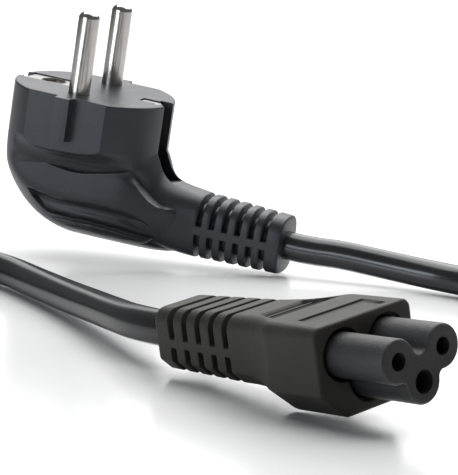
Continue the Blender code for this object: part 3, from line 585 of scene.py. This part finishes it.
def slot_depth(x, places, depth):
    """How deep the surface is pressed in at x: full inside a slot, with rounded rib edges."""
    half = SLOT_WIDTH / 2
    pressed = np.zeros_like(x)
    for place in places:
        away = np.abs(x - place)
        pressed = np.maximum(pressed, depth * (1 - step(away, half - 0.12, half + 0.02)))
        pressed = np.maximum(pressed, 0.1 * (1 - step(away, half, half + SLOT_EDGE)))
    return pressed


def rounded_end(last, start, axis, half_width, half_height, edge):
    """Rings that round a bar's end: the last ring drawn in by each inset, and set at start plus its way."""
    rings = []
    for inset, way in edge:
        ring = last.copy()
        ring[:, 0] = start + way
        ring[:, 1] *= 1 - inset / half_width
        ring[:, 2] = axis + (ring[:, 2] - axis) * (1 - inset / half_height)
        rings.append(ring)
    return np.array(rings)


# %% Plug strain relief
PLUG_BOOT_AXIS = -25.4
PLUG_BOOT_END = 50.7
PLUG_BOOT_HALF = 6.8
PLUG_BOOT_POWER = 3.0
PLUG_SLOTS = [31.5 + 3.08 * k for k in range(6)]
PLUG_SLOT_DEPTH = 2.1
PLUG_SPINE = 0.85
BOOT_HIGH_X = [14.5, 17.0, 18.2, 18.7, 19.4, 20.5, 22.0, 23.8, 26.6, 30.0, 50.0]
BOOT_HIGH = [-8.0, -8.8, -9.8, -11.6, -13.4, -15.0, -16.2, -16.9, -17.4, -17.85, -18.75]
FLARE_X = [14.5, 16.5, 18.0, 20.0, 22.5, 25.0]
FLARE = [0.55, 0.38, 0.25, 0.12, 0.04, 0.0]


def plug_boot():
    """Rows of points along X, each a squared ellipse with its own reach up and down from the axis.

    y = (half - pressed) |cos|^(2 / power) and z = axis + (reach - pressed) |sin|^(2 / power), each with its
    own sign. The power grows from 2 in the neck to 3 at the slots. The neck's top is spread by the flare.
    """
    power = PLUG_BOOT_POWER
    x = relief_rows(14.5, PLUG_BOOT_END - 0.5, PLUG_SLOTS)
    high = np.interp(x, BOOT_HIGH_X, BOOT_HIGH)
    low = np.interp(x, [14.5, 30.0, 50.0], [-31.8, -32.4, -31.85])
    half = np.interp(x, [14.5, 19.0, 22.0, 26.0, 30.0, 50.0], [8.8, 8.6, 8.0, 7.2, 6.5, 6.0])
    flare = np.interp(x, FLARE_X, FLARE)[:, None]
    bluntness = np.interp(x, [14.5, 22.0, 29.0], [2.0, 2.15, power])[:, None]
    high, low, half = [smooth_rows(row, 3)[:, None] for row in (high, low, half)]
    angle = relief_angles(PLUG_BOOT_HALF, PLUG_SPINE, power, 96)[None]
    cosine, sine = np.cos(angle), np.sin(angle)
    reach = np.where(sine > 0, high - PLUG_BOOT_AXIS, PLUG_BOOT_AXIS - low)
    rise = np.abs(squared(sine, power)) * PLUG_BOOT_HALF
    pressed = slot_depth(x, PLUG_SLOTS, PLUG_SLOT_DEPTH)[:, None] * step(rise, 0.9, 1.05)
    y = (half - pressed) * squared(cosine, bluntness)
    z = PLUG_BOOT_AXIS + (reach - pressed) * squared(sine, bluntness)
    y = y * (1 + flare * (1 - step(-z, 13.0, 18.5)))
    body = np.stack([x[:, None] + 0 * y, y, z], -1)
    end = rounded_end(body[-1], PLUG_BOOT_END - 0.5, PLUG_BOOT_AXIS, 6.0, 6.6,
                      ((0.1, 0.25), (0.3, 0.43), (0.6, 0.5)))
    return np.concatenate([body, end])


boot = grid_piece("plug_strain_relief", placed(plug_boot(), PLUG), sharp=50)
carve(boot, [right_channel()], sharp=35)
wear(boot, PLUG_PLASTIC, "plug moulding", "plug_body")

# %% [markdown]
# The pins are turned, straight with a domed tip. Each goes a little way down its hole.

# %% Pins
PIN_RADIUS = 2.4


def pin_profile():
    """Radius and height from the tip down: a quarter ellipse for the dome, then the straight pin."""
    dome = [(PIN_RADIUS * math.sin(a), 17.1 + 1.9 * math.cos(a)) for a in np.linspace(0.02, math.pi / 2, 14)]
    return dome + [(PIN_RADIUS, height) for height in (9.0, 0.8, -0.3, -5.9)]


for side, label in ((-1, "near"), (1, "far")):
    points = spun(pin_profile(), (0.0, side * PIN_OFFSET), 2, PLUG, LATHE_STEPS)
    pin = grid_piece(f"pin_{label}", points, sharp=50)
    wear(pin, NICKEL, "nickel", f"plug_pin_{label}")

# %% [markdown]
# The earth contact is bent sheet metal. A path in the X and Z plane gives its line, from the strip's inner
# end across the face and down the side, and the strip's width is carried along it.

# %% Earth strips
SHEET = 0.7
SHEET_TOP = -0.65
CLIP_FOOT = -14.0
BEND_RADIUS = 1.0
STRIP_HOLE_RADIUS = 2.75


def bent_strip(name, path, widths):
    """Carry a flat rectangle along a path in X and Z: its width in Y by the sheet's thickness."""
    path = np.array(path, float)
    tangent = np.gradient(path, axis=0)
    tangent /= np.linalg.norm(tangent, axis=1)[:, None]
    normal = np.stack([-tangent[:, 1], tangent[:, 0]], 1)
    rows = []
    for (x, z), (nx, nz), width in zip(path, normal, widths):
        half, t = width / 2, SHEET / 2
        section = [(half, t), (-half, t), (-half, -t), (half, -t)]
        rows.append([(x + nx * up, across, z + nz * up) for across, up in section])
    return grid_piece(name, placed(np.array(rows), PLUG), sharp=30)


def bend(side, inner, outer):
    """A path from the face's inner end, round a quarter circle at the rim, down to the clip's foot."""
    r = BEND_RADIUS
    corner = [(outer - r + r * math.sin(a), SHEET_TOP - r + r * math.cos(a))
              for a in np.linspace(0, math.pi / 2, 9)]
    path = [(inner, SHEET_TOP), (inner + 0.5, SHEET_TOP), ((inner + outer) / 2, SHEET_TOP)] + corner
    path += [(outer, CLIP_FOOT + 2.0), (outer, CLIP_FOOT)]
    return [(side * x, z) for x, z in path]


left_widths = [3.2, 6.2, 6.4, *np.linspace(6.2, 4.8, 9), 4.8, 4.8]
strip = bent_strip("earth_strip", bend(-1, 4.7, 17.2), left_widths)
carve(strip, [rod_tool(STRIP_HOLE_RADIUS, -3.0, ABOVE_FACE, EARTH_PLACE, 2, PLUG)])
wear(strip, SHEET_NICKEL, "nickel", "plug_earth_strip")
right_widths = [2.6, 2.6, 2.6, 2.6, *np.linspace(2.8, 4.8, 8), 4.8, 4.8]
tab = bent_strip("earth_clip", bend(1, 11.6, 15.9), right_widths)
wear(tab, SHEET_NICKEL, "nickel", "plug_earth_clip")
rim = [(2.5, -12.0), (2.78, -12.0), (2.78, -0.75), (2.9, -0.25), (2.75, -0.15), (2.6, -0.25), (2.5, -0.9)]
# The eyelet shares the darkened contact nickel of the sockets' tubes.
eyelet = grid_piece("earth_eyelet", spun(rim, EARTH_PLACE, 2, PLUG, LATHE_STEPS), sharp=50)
wear(eyelet, SHADE_DARKENED_NICKEL, "nickel", "plug_earth_sleeve")

# %% [markdown]
# The connector's grip is a block that narrows into its strain relief. Its section is a rectangle with two
# rounded upper corners and two cut lower corners. As the section goes back, the six corners keep their order
# and only move, so each corner leaves a crease that runs the length of the grip, as on the real moulding.

# %% Connector sections
NOSE_LENGTH = 12.25
SOCKET_HEIGHT = 10.32
GRIP_BACK = [0.0, 6.0, 11.9, 12.9, 14.4, 16.6, 19.2, 22.0, 25.0, 46.0]
GRIP_HALF = [11.0, 11.0, 10.95, 10.6, 9.75, 8.8, 8.05, 7.6, 7.35, 6.2]
GRIP_LOW = [0.0, 0.0, 0.0, 0.25, 1.1, 2.3, 2.95, 3.05, 3.0, 3.3]
GRIP_HIGH = [15.9, 15.9, 15.9, 15.85, 15.7, 15.5, 15.3, 15.1, 14.9, 14.4]
GRIP_CUT_WIDTH = [5.5, 5.5, 5.4, 5.0, 4.2, 3.4, 2.9, 2.6, 2.4, 2.2]
GRIP_CUT_HEIGHT = [4.8, 4.8, 4.7, 4.5, 3.9, 3.0, 2.6, 2.4, 2.3, 2.2]
GRIP_TOP_ROUND = [1.6, 1.8, 2.0, 2.2, 2.4, 2.6, 2.6, 2.6, 2.6, 2.4]
CREASE_RADIUS = 0.7
CORNER_POINTS = 7
BOOT_SLOTS = [26.1 + 3.73 * k for k in range(5)]
BOOT_SLOT_DEPTH = 1.9
BOOT_END = 45.7
BOOT_AXIS = 8.85


def corner_arcs(corners, radii, steps):
    """Round each corner of a stack of polygons: corners is stations x corners x 2, radii stations x corners.

    The centre lies on the bisector at radius / sin(half the corner's angle), and the arc sweeps between the
    two feet of that centre on the edges.
    """
    before = np.roll(corners, 1, axis=1) - corners
    after = np.roll(corners, -1, axis=1) - corners
    before /= np.linalg.norm(before, axis=-1, keepdims=True)
    after /= np.linalg.norm(after, axis=-1, keepdims=True)
    half = np.arccos(np.clip((before * after).sum(-1), -1, 1)) / 2
    bisector = before + after
    bisector /= np.linalg.norm(bisector, axis=-1, keepdims=True)
    centre = corners + bisector * (radii / np.sin(half))[..., None]
    first = corners + before * (radii / np.tan(half))[..., None] - centre
    last = corners + after * (radii / np.tan(half))[..., None] - centre
    start = np.arctan2(first[..., 1], first[..., 0])
    cross = first[..., 0] * last[..., 1] - first[..., 1] * last[..., 0]
    turn = np.arctan2(cross, (first * last).sum(-1))
    share = np.linspace(0, 1, steps)[None, None]
    angle = start[..., None] + turn[..., None] * share
    ring = centre[:, :, None] + radii[..., None, None] * np.stack([np.cos(angle), np.sin(angle)], -1)
    return ring.reshape(len(corners), -1, 2)


def grip_outline(back):
    """Outline of the grip at each distance behind its front face, anticlockwise from the top right corner."""
    half, low, high, wide, tall, top = [
        smooth_rows(np.interp(back, GRIP_BACK, row), 4)
        for row in (GRIP_HALF, GRIP_LOW, GRIP_HIGH, GRIP_CUT_WIDTH, GRIP_CUT_HEIGHT, GRIP_TOP_ROUND)]
    corners = np.stack([
        np.stack([half, high], -1), np.stack([-half, high], -1), np.stack([-half, low + tall], -1),
        np.stack([-half + wide, low], -1), np.stack([half - wide, low], -1),
        np.stack([half, low + tall], -1)], 1)
    small = CREASE_RADIUS + 0 * top
    radii = np.stack([top, top, small, small, small, small], 1)
    return corner_arcs(corners, radii, CORNER_POINTS)


def divide(ring, counts):
    """Add evenly spaced points on the straight runs between corner arcs, given how many for each run."""
    pieces = []
    for k, count in enumerate(counts):
        arc = ring[:, k * CORNER_POINTS:(k + 1) * CORNER_POINTS]
        following = ring[:, ((k + 1) * CORNER_POINTS) % ring.shape[1]][:, None]
        share = np.linspace(0, 1, count + 2)[1:-1][None, :, None]
        pieces += [arc, arc[:, -1:] * (1 - share) + following * share]
    return np.concatenate(pieces, 1)


# %% Connector grip
LABEL = (1.8, 7.4)
LABEL_DEPTH = 0.35
THUMB = (13.3, 19.1)
THUMB_WAVES = 3.5
RUN_POINTS = (60, 36, 10, 24, 10, 36)


def connector_shell():
    """Rows of points from front to back: the grip's outline, with a label recess, thumb ribs and slots.

    The thumb ribs stand where a cosine along X passes its middle. The slots are pressed towards the axis, in
    the upper and the lower part only, which leaves a spine along each side.
    """
    end = BOOT_END - 0.6
    panel = [LABEL[0], LABEL[0] + 0.12, LABEL[1], LABEL[1] - 0.12]
    back = thinned([np.arange(0.6, end, 0.3), relief_rows(24.0, end, BOOT_SLOTS), panel])
    ring = divide(grip_outline(back), RUN_POINTS)
    y, z = ring[..., 0], ring[..., 1]
    x = back[:, None] + 0 * y

    top = step(z, 14.0, 14.2)
    label = inside(x, LABEL[0], LABEL[1], 0.12) * (1 - step(np.abs(y), 7.0, 7.2)) * top
    z = z - LABEL_DEPTH * label
    reach = np.interp(x, THUMB, [7.2, 4.6])
    thumb = inside(x, THUMB[0], THUMB[1], 0.2) * (1 - step(np.abs(y), reach, reach + 0.25)) * top
    wave = 0.5 - 0.5 * np.cos((x - THUMB[0]) / (THUMB[1] - THUMB[0]) * math.tau * THUMB_WAVES)
    z = z - thumb * (1.45 - 1.0 * step(wave, 0.35, 0.65))

    upper = step(z, 9.3, 9.9)
    lower = 1 - step(z, 7.3, 7.9)
    pressed = slot_depth(x, BOOT_SLOTS, BOOT_SLOT_DEPTH) * np.maximum(upper, lower) * 1.1
    far = np.sqrt(y ** 2 + (z - BOOT_AXIS) ** 2)
    y = y - pressed * y / far
    z = z - pressed * (z - BOOT_AXIS) / far
    return np.stack([-NOSE_LENGTH - x, y, z - SOCKET_HEIGHT], -1)


def polar(outline, centre, angles):
    """Resample a closed outline at the given angles about a centre that sees all of it."""
    away = outline - centre
    angle = np.arctan2(away[:, 1], away[:, 0])
    order = np.argsort(angle)
    angle, radius = angle[order], np.linalg.norm(away, axis=1)[order]
    angle = np.concatenate([angle - math.tau, angle, angle + math.tau])
    radius = np.concatenate([radius] * 3)
    found = np.interp((angles + math.pi) % math.tau - math.pi, angle, radius)
    return centre + found[:, None] * np.stack([np.cos(angles), np.sin(angles)], -1)


# %% Cloverleaf outline
LOBES = np.array([(5.0, 0.0), (-5.0, 0.0), (0.0, -4.54)])
LOBE_RADIUS = 3.68
NOTCHES = (1.6, 1.1, 1.1)
LOBE_POINTS = 48
NOTCH_POINTS = 12
NOSE_MIDDLE = np.array([0.0, -1.75])


def cloverleaf(grow):
    """Three arcs round the lobes, joined by fillet arcs whose centres are r + f from both lobes.

    The whole outline is grown outwards by grow, or drawn in where it is negative.
    """
    radius = LOBE_RADIUS + grow
    fillets = []
    for k in range(3):
        first, second = LOBES[k], LOBES[(k + 1) % 3]
        along = second - first
        span = np.linalg.norm(along)
        size = NOTCHES[k] - grow
        height = math.sqrt((radius + size) ** 2 - (span / 2) ** 2)
        outward = np.array([along[1], -along[0]]) / span
        fillets.append(((first + second) / 2 + outward * height, size))
    points = []
    for k in range(3):
        a = fillets[k - 1][0] - LOBES[k]
        b = fillets[k][0] - LOBES[k]
        first, last = math.atan2(a[1], a[0]), math.atan2(b[1], b[0])
        last += math.tau if last < first else 0.0
        sweep = np.linspace(first, last, LOBE_POINTS)
        points.append(LOBES[k] + radius * np.stack([np.cos(sweep), np.sin(sweep)], -1))
        centre, size = fillets[k]
        a, b = LOBES[k] - centre, LOBES[(k + 1) % 3] - centre
        first = math.atan2(a[1], a[0])
        turn = math.atan2(a[0] * b[1] - a[1] * b[0], a @ b)
        sweep = np.linspace(first, first + turn, NOTCH_POINTS)[1:-1]
        points.append(centre + size * np.stack([np.cos(sweep), np.sin(sweep)], -1))
    return np.concatenate(points)


# %% Connector front and body
THROAT_ROOM = 0.30
MOUTH_ROOM = 0.75
MOUTH_FLARE = 1.008
FRONT_EDGE = ((0.5, 0.0), (0.22, 0.07), (0.08, 0.2), (0.0, 0.4))


def at_depth(ring, depth):
    """A ring of (y, z) points, set so deep behind the grip's flat front."""
    return np.column_stack([np.full(len(ring), -NOSE_LENGTH - depth), ring])


def connector_body():
    """The pocket that the nose stands in, the flat front, its rounded edge, the grip's rows and their end."""
    shell = connector_shell()
    away = shell[0][:, 1:] - NOSE_MIDDLE
    angles = np.arctan2(away[:, 1], away[:, 0])
    throat = polar(cloverleaf(THROAT_ROOM), NOSE_MIDDLE, angles)
    mouth = polar(cloverleaf(MOUTH_ROOM), NOSE_MIDDLE, angles)
    rim = mouth * MOUTH_FLARE
    pocket = [at_depth(throat, 4.5), at_depth(throat, 0.9), at_depth(mouth, 0.75), at_depth(mouth, 0.06),
              at_depth(rim, 0.0)]
    edge = [at_depth(NOSE_MIDDLE + away * (1 - inset / 9.0), back) for inset, back in FRONT_EDGE]
    outer = edge[0][:, 1:]
    front = [at_depth(rim * (1 - share) + outer * share, 0.0) for share in (0.33, 0.66)]
    end = rounded_end(shell[-1], -NOSE_LENGTH - BOOT_END + 0.6, BOOT_AXIS - SOCKET_HEIGHT, 6.5, 5.6,
                      ((0.15, -0.3), (0.4, -0.5), (0.8, -0.6)))
    return np.concatenate([np.array(pocket + front + edge), shell, end])


grip = grid_piece("connector_grip", placed(connector_body(), CONNECTOR), sharp=40)
wear(grip, CONNECTOR_PLASTIC, "connector moulding", "connector_body")

# %% [markdown]
# The hard nose is the cloverleaf outline carried along X, with a small round-over at its tip. Three sockets
# are bored into it, and the contact tubes sit deep inside them.

# %% Cloverleaf nose
NOSE_ROWS = ((0.0, -16.5), (0.0, -12.6), (0.0, -6.0), (0.0, -0.45), (0.04, -0.25), (0.13, -0.1), (0.3, -0.02),
             (0.5, 0.0))
SOCKET_DEPTH = 13.2
SOCKETS = ((1.5, LOBES[1]), (1.5, LOBES[0]), (1.95, LOBES[2]))


def nose_surface():
    """The outline at each of the nose's rows, drawn in by the row's inset."""
    rings = [(x, cloverleaf(-inset)) for inset, x in NOSE_ROWS]
    return np.array([np.column_stack([np.full(len(ring), x), ring]) for x, ring in rings])


nose = grid_piece("nose", placed(nose_surface(), CONNECTOR))
carve(nose, [rod_tool(radius, -SOCKET_DEPTH, 1.0, lobe, 0, CONNECTOR) for radius, lobe in SOCKETS], 35)
wear(nose, NOSE_PLASTIC, "connector moulding", "cloverleaf_nose")
# The contact tubes get the darkened contact nickel, which is painted shade for the dark inside the sockets.
sleeves = [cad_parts[f"contact_sleeve_{label}"] for label in ("near", "far", "earth")]
for sleeve in sleeves:
    paint(sleeve, SHADE_DARKENED_NICKEL)
print(len(sleeves), "contact tubes kept as solids")

# %% [markdown]
# The cord is one length of round jacket, 1.66 m. It leaves the plug's strain relief, comes down to the floor,
# swings wide round the front of the picture, goes a little over four times round the coil, and comes
# back to the connector's strain relief from the left. Its route is given as points, with a curve through
# them.

# %% Cord route
CORD_DIAMETER = 6.5
CORD_LEAD = 5.3
CORD_TUCK = 0.4
ROUTE_STEP = 4.0
COIL_CENTRE = np.array([6.0, -196.0])
COIL_BOTTOM = 4.25
COIL_TURNS = 4.25
COIL_MARKS = [0.0, 0.7, 1.0, 1.7, 2.0, 2.3, 2.7, 3.0, 3.3, 3.7, 4.0, COIL_TURNS]
COIL_RADII = [42.5, 42.5, 36.0, 36.0, 29.5, 29.5, 29.5, 36.0, 36.0, 36.0, 42.5, 42.5]
PLUG_SIDE_ROUTE = [
    (60.0, 1.65, 5.65), (66.0, 1.5, 5.00), (72.0, 1.2, 4.36), (78.0, 0.5, 3.80), (84.5, -1.0, 3.42),
    (92.0, -4.2, 3.27), (100.0, -9.4, 3.25), (108.0, -17.2, 3.25), (115.0, -29.5, 3.25), (120.5, -48.0, 3.25),
    (126.0, -75.0, 3.25), (131.5, -103.0, 3.25), (136.5, -130.0, 3.25), (140.5, -156.0, 3.25),
    (142.0, -179.0, 3.25), (139.0, -200.0, 3.25), (128.5, -217.5, 3.25), (111.5, -229.5, 3.25),
    (91.0, -236.5, 3.30), (69.0, -239.0, 3.60),
]
CONNECTOR_SIDE_ROUTE = [
    (58.1, -111.7, 6.30), (54.2, -108.2, 5.95), (47.9, -100.9, 5.38), (40.9, -92.3, 4.72),
    (32.9, -82.9, 4.05), (24.4, -73.3, 3.55), (15.0, -63.4, 3.30), (4.6, -53.4, 3.25),
    (-5.6, -46.7, 3.25), (-17.6, -44.3, 3.25), (-29.6, -46.7, 3.25), (-40.2, -53.8, 3.25),
    (-47.3, -64.4, 3.25), (-49.6, -77.0, 3.25), (-48.0, -95.0, 3.30), (-44.0, -114.0, 3.90),
    (-40.5, -134.0, 5.60), (-38.0, -153.0, 8.30),
]


def local(point, matrix):
    """A local point of one end in the layout's millimetres."""
    return (matrix[:3, :3] @ np.array(point) + matrix[:3, 3]) + np.array(LAYOUT_ORIGIN)


def coil_turns():
    """Four and a quarter turns, clockwise from above: out to in on the floor, then back out on top of those.

    The radius holds for most of a turn and steps in a diameter over its last third. The height steps up by a
    diameter once, between the third turn and the fourth.
    """
    t = np.linspace(0, COIL_TURNS, int(COIL_TURNS * 24) + 1)
    radius = np.interp(t, COIL_MARKS, COIL_RADII)
    height = COIL_BOTTOM + np.interp(t, [0.0, 2.2, 2.7, COIL_TURNS], [0.0, 0.0, CORD_DIAMETER, CORD_DIAMETER])
    angle = -math.pi / 2 - t * math.tau
    x, y = COIL_CENTRE[0] + radius * np.cos(angle), COIL_CENTRE[1] + radius * np.sin(angle)
    return np.column_stack([x, y, height])


def smooth_route(given, spacing):
    """A centripetal Catmull-Rom curve through the given points, read every spacing millimetres."""
    given = np.array(given, float)
    given = np.vstack([2 * given[0] - given[1], given, 2 * given[-1] - given[-2]])
    knots = np.concatenate([[0.0], np.cumsum(np.sqrt(np.linalg.norm(np.diff(given, axis=0), axis=1)))])
    fine = []
    for k in range(1, len(given) - 2):
        t0, t1, t2, t3 = knots[k - 1:k + 3]
        p0, p1, p2, p3 = given[k - 1:k + 3]
        t = np.linspace(t1, t2, 8, endpoint=False)[:, None]
        a1 = (t1 - t) / (t1 - t0) * p0 + (t - t0) / (t1 - t0) * p1
        a2 = (t2 - t) / (t2 - t1) * p1 + (t - t1) / (t2 - t1) * p2
        a3 = (t3 - t) / (t3 - t2) * p2 + (t - t2) / (t3 - t2) * p3
        b1 = (t2 - t) / (t2 - t0) * a1 + (t - t0) / (t2 - t0) * a2
        b2 = (t3 - t) / (t3 - t1) * a2 + (t - t1) / (t3 - t1) * a3
        fine.append((t2 - t) / (t2 - t1) * b1 + (t - t1) / (t2 - t1) * b2)
    fine = np.vstack(fine + [given[-2][None]])
    along = np.concatenate([[0.0], np.cumsum(np.linalg.norm(np.diff(fine, axis=0), axis=1))])
    marks = np.linspace(0.0, along[-1], int(along[-1] / spacing) + 1)
    return np.stack([np.interp(marks, along, fine[:, k]) for k in range(3)], 1)


plug_exit = [local((PLUG_BOOT_END + way, 0.0, PLUG_BOOT_AXIS), PLUG) for way in (-CORD_TUCK, CORD_LEAD)]
connector_exit = [local((-NOSE_LENGTH - BOOT_END - way, 0.0, BOOT_AXIS - SOCKET_HEIGHT), CONNECTOR)
                  for way in (CORD_LEAD, -CORD_TUCK)]
route = np.vstack([plug_exit, PLUG_SIDE_ROUTE, coil_turns(), CONNECTOR_SIDE_ROUTE[::-1], connector_exit])
line = (smooth_route(route, ROUTE_STEP) - np.array(LAYOUT_ORIGIN)) * MM


# %% Cord
def cord_curve(name, points, diameter):
    """A bevelled curve on one open spline, with its ends filled."""
    curve = bpy.data.curves.new(name, "CURVE")
    curve.dimensions = "3D"
    curve.bevel_depth = diameter / 2
    curve.bevel_resolution = 6
    curve.use_fill_caps = True
    spline = curve.splines.new("POLY")
    spline.points.add(len(points) - 1)
    spline.points.foreach_set("co", np.column_stack([points, np.ones(len(points))]).ravel())
    spline.use_smooth = True
    piece = bpy.data.objects.new(name, curve)
    bpy.context.scene.collection.objects.link(piece)
    return piece


cord = cord_curve("cord", line, CORD_DIAMETER * MM)
wear(cord, CORD_PLASTIC, "cord jacket", "cord_plug_side", "cord_connector_side", "cord_coil")
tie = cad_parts["coil_tie"]
paint(tie, TIE_PLASTIC)
print("coil tie kept as a solid")

# %% [markdown]
# The floor is a wide, slightly glossy white sheet, which mirrors the lead softly, as in a product photograph.

# %% Floor
FLOOR_SINK = 0.0002


def floor_surface():
    """A grid of 24 by 24 squares just below z = 0 that curls up far behind, so that no edge shows.

    Height = 0.12 x (v - 3)^2 beyond v = 3 m, and 0 before it, less the sink.
    """
    u, v = np.meshgrid(np.linspace(-4.0, 4.0, 25), np.linspace(-2.0, 6.0, 25), indexing="ij")
    return np.stack([u, v, -FLOOR_SINK + 0.12 * np.clip(v - 3.0, 0, None) ** 2], -1)


FLOOR_PAINT = mottled("floor sheet", (60.0, 2.0), None, 1.0, ((0.93, 0.93, 0.93), (0.95, 0.95, 0.95)),
                      (0.20, 0.03, 0.0), 0.0, IOR=1.5, Specular_IOR_Level=0.5, Metallic=0.32)
floor = grid_piece("floor", floor_surface(), closed=False)
paint(floor, FLOOR_PAINT)
print("floor", len(floor.data.polygons), "faces")

# %% [markdown]
# Soft studio light in a dim white room. A broad panel overhead and towards the back draws the long highlights
# on the plastic, a fainter one behind lights the far rims, and a small cool one stands low on the left. The
# strongest only lights the floor's far end, which the picture sees as its white background.

# %% Light
WHITE = (1.0, 1.0, 1.0)
ROOM_STRENGTH = 0.15


def panel(name, place, aim, width, height, power, tint=WHITE):
    """A rectangular area light at a place, turned to an aim, in metres and watts, hidden from the camera."""
    light = bpy.data.lights.new(name, "AREA")
    light.shape = "RECTANGLE"
    light.size, light.size_y, light.energy = width, height, power
    light.color = tint
    lamp = bpy.data.objects.new(name, light)
    bpy.context.scene.collection.objects.link(lamp)
    lamp.location = place
    lamp.rotation_euler = (Vector(aim) - Vector(place)).to_track_quat("-Z", "Y").to_euler()
    lamp.visible_camera = False
    print(name, "light", width, "x", height, "m,", power, "W")


world = bpy.data.worlds.new("studio")
bpy.context.scene.world = world
world.use_nodes = True
background = world.node_tree.nodes["Background"]
background.inputs["Color"].default_value = (*WHITE, 1.0)
background.inputs["Strength"].default_value = ROOM_STRENGTH
panel("overhead", (0.2, 1.05, 1.6), (0.2, 0.7, 0.0), 3.0, 2.5, 95.0)
panel("back", (-0.5, 1.9, 0.75), (-0.05, 0.0, 0.0), 2.2, 0.9, 8.0)
panel("backdrop", (0.0, 1.6, 1.9), (0.0, 3.6, 0.2), 2.5, 1.2, 170.0)
panel("left", (-0.40, -0.66, 0.15), (-0.03, 0.05, 0.02), 0.45, 0.26, 2.6, (0.84, 0.92, 1.0))
bpy.context.scene.view_settings.view_transform = "Standard"

# %% [markdown]
# The camera was fitted to the photograph with the pins' known size. Its place is in the layout's millimetres,
# and its focal length in pixels of a picture 475 high.

# %% Camera
CAMERA_PLACE = Vector((208.1, -506.1, 80.1))
CAMERA_YAW, CAMERA_PITCH, CAMERA_ROLL = -18.99, 7.747, 3.115
FOCAL_PIXELS = 2406.9
IMAGE_HEIGHT = 475


def camera_matrix():
    """Forward from yaw and pitch, then right and up turned by the roll."""
    yaw, pitch, roll = (math.radians(a) for a in (CAMERA_YAW, CAMERA_PITCH, CAMERA_ROLL))
    forward = Vector((math.sin(yaw) * math.cos(pitch), math.cos(yaw) * math.cos(pitch), -math.sin(pitch)))
    level = Vector((math.cos(yaw), -math.sin(yaw), 0.0))
    above = level.cross(forward)
    right = math.cos(roll) * level + math.sin(roll) * above
    up = math.cos(roll) * above - math.sin(roll) * level
    turn = Matrix((right, up, -forward)).transposed().to_4x4()
    return Matrix.Translation((CAMERA_PLACE - LAYOUT_ORIGIN) * MM) @ turn


lens = bpy.data.cameras.new("camera")
lens.sensor_width = 36.0
lens.lens = FOCAL_PIXELS / IMAGE_HEIGHT * lens.sensor_width
lens.clip_start = 0.01
camera = bpy.data.objects.new("camera", lens)
bpy.context.scene.collection.objects.link(camera)
camera.matrix_world = camera_matrix()
bpy.context.scene.camera = camera
print("camera lens", round(lens.lens, 1), "mm at", camera.matrix_world.translation)
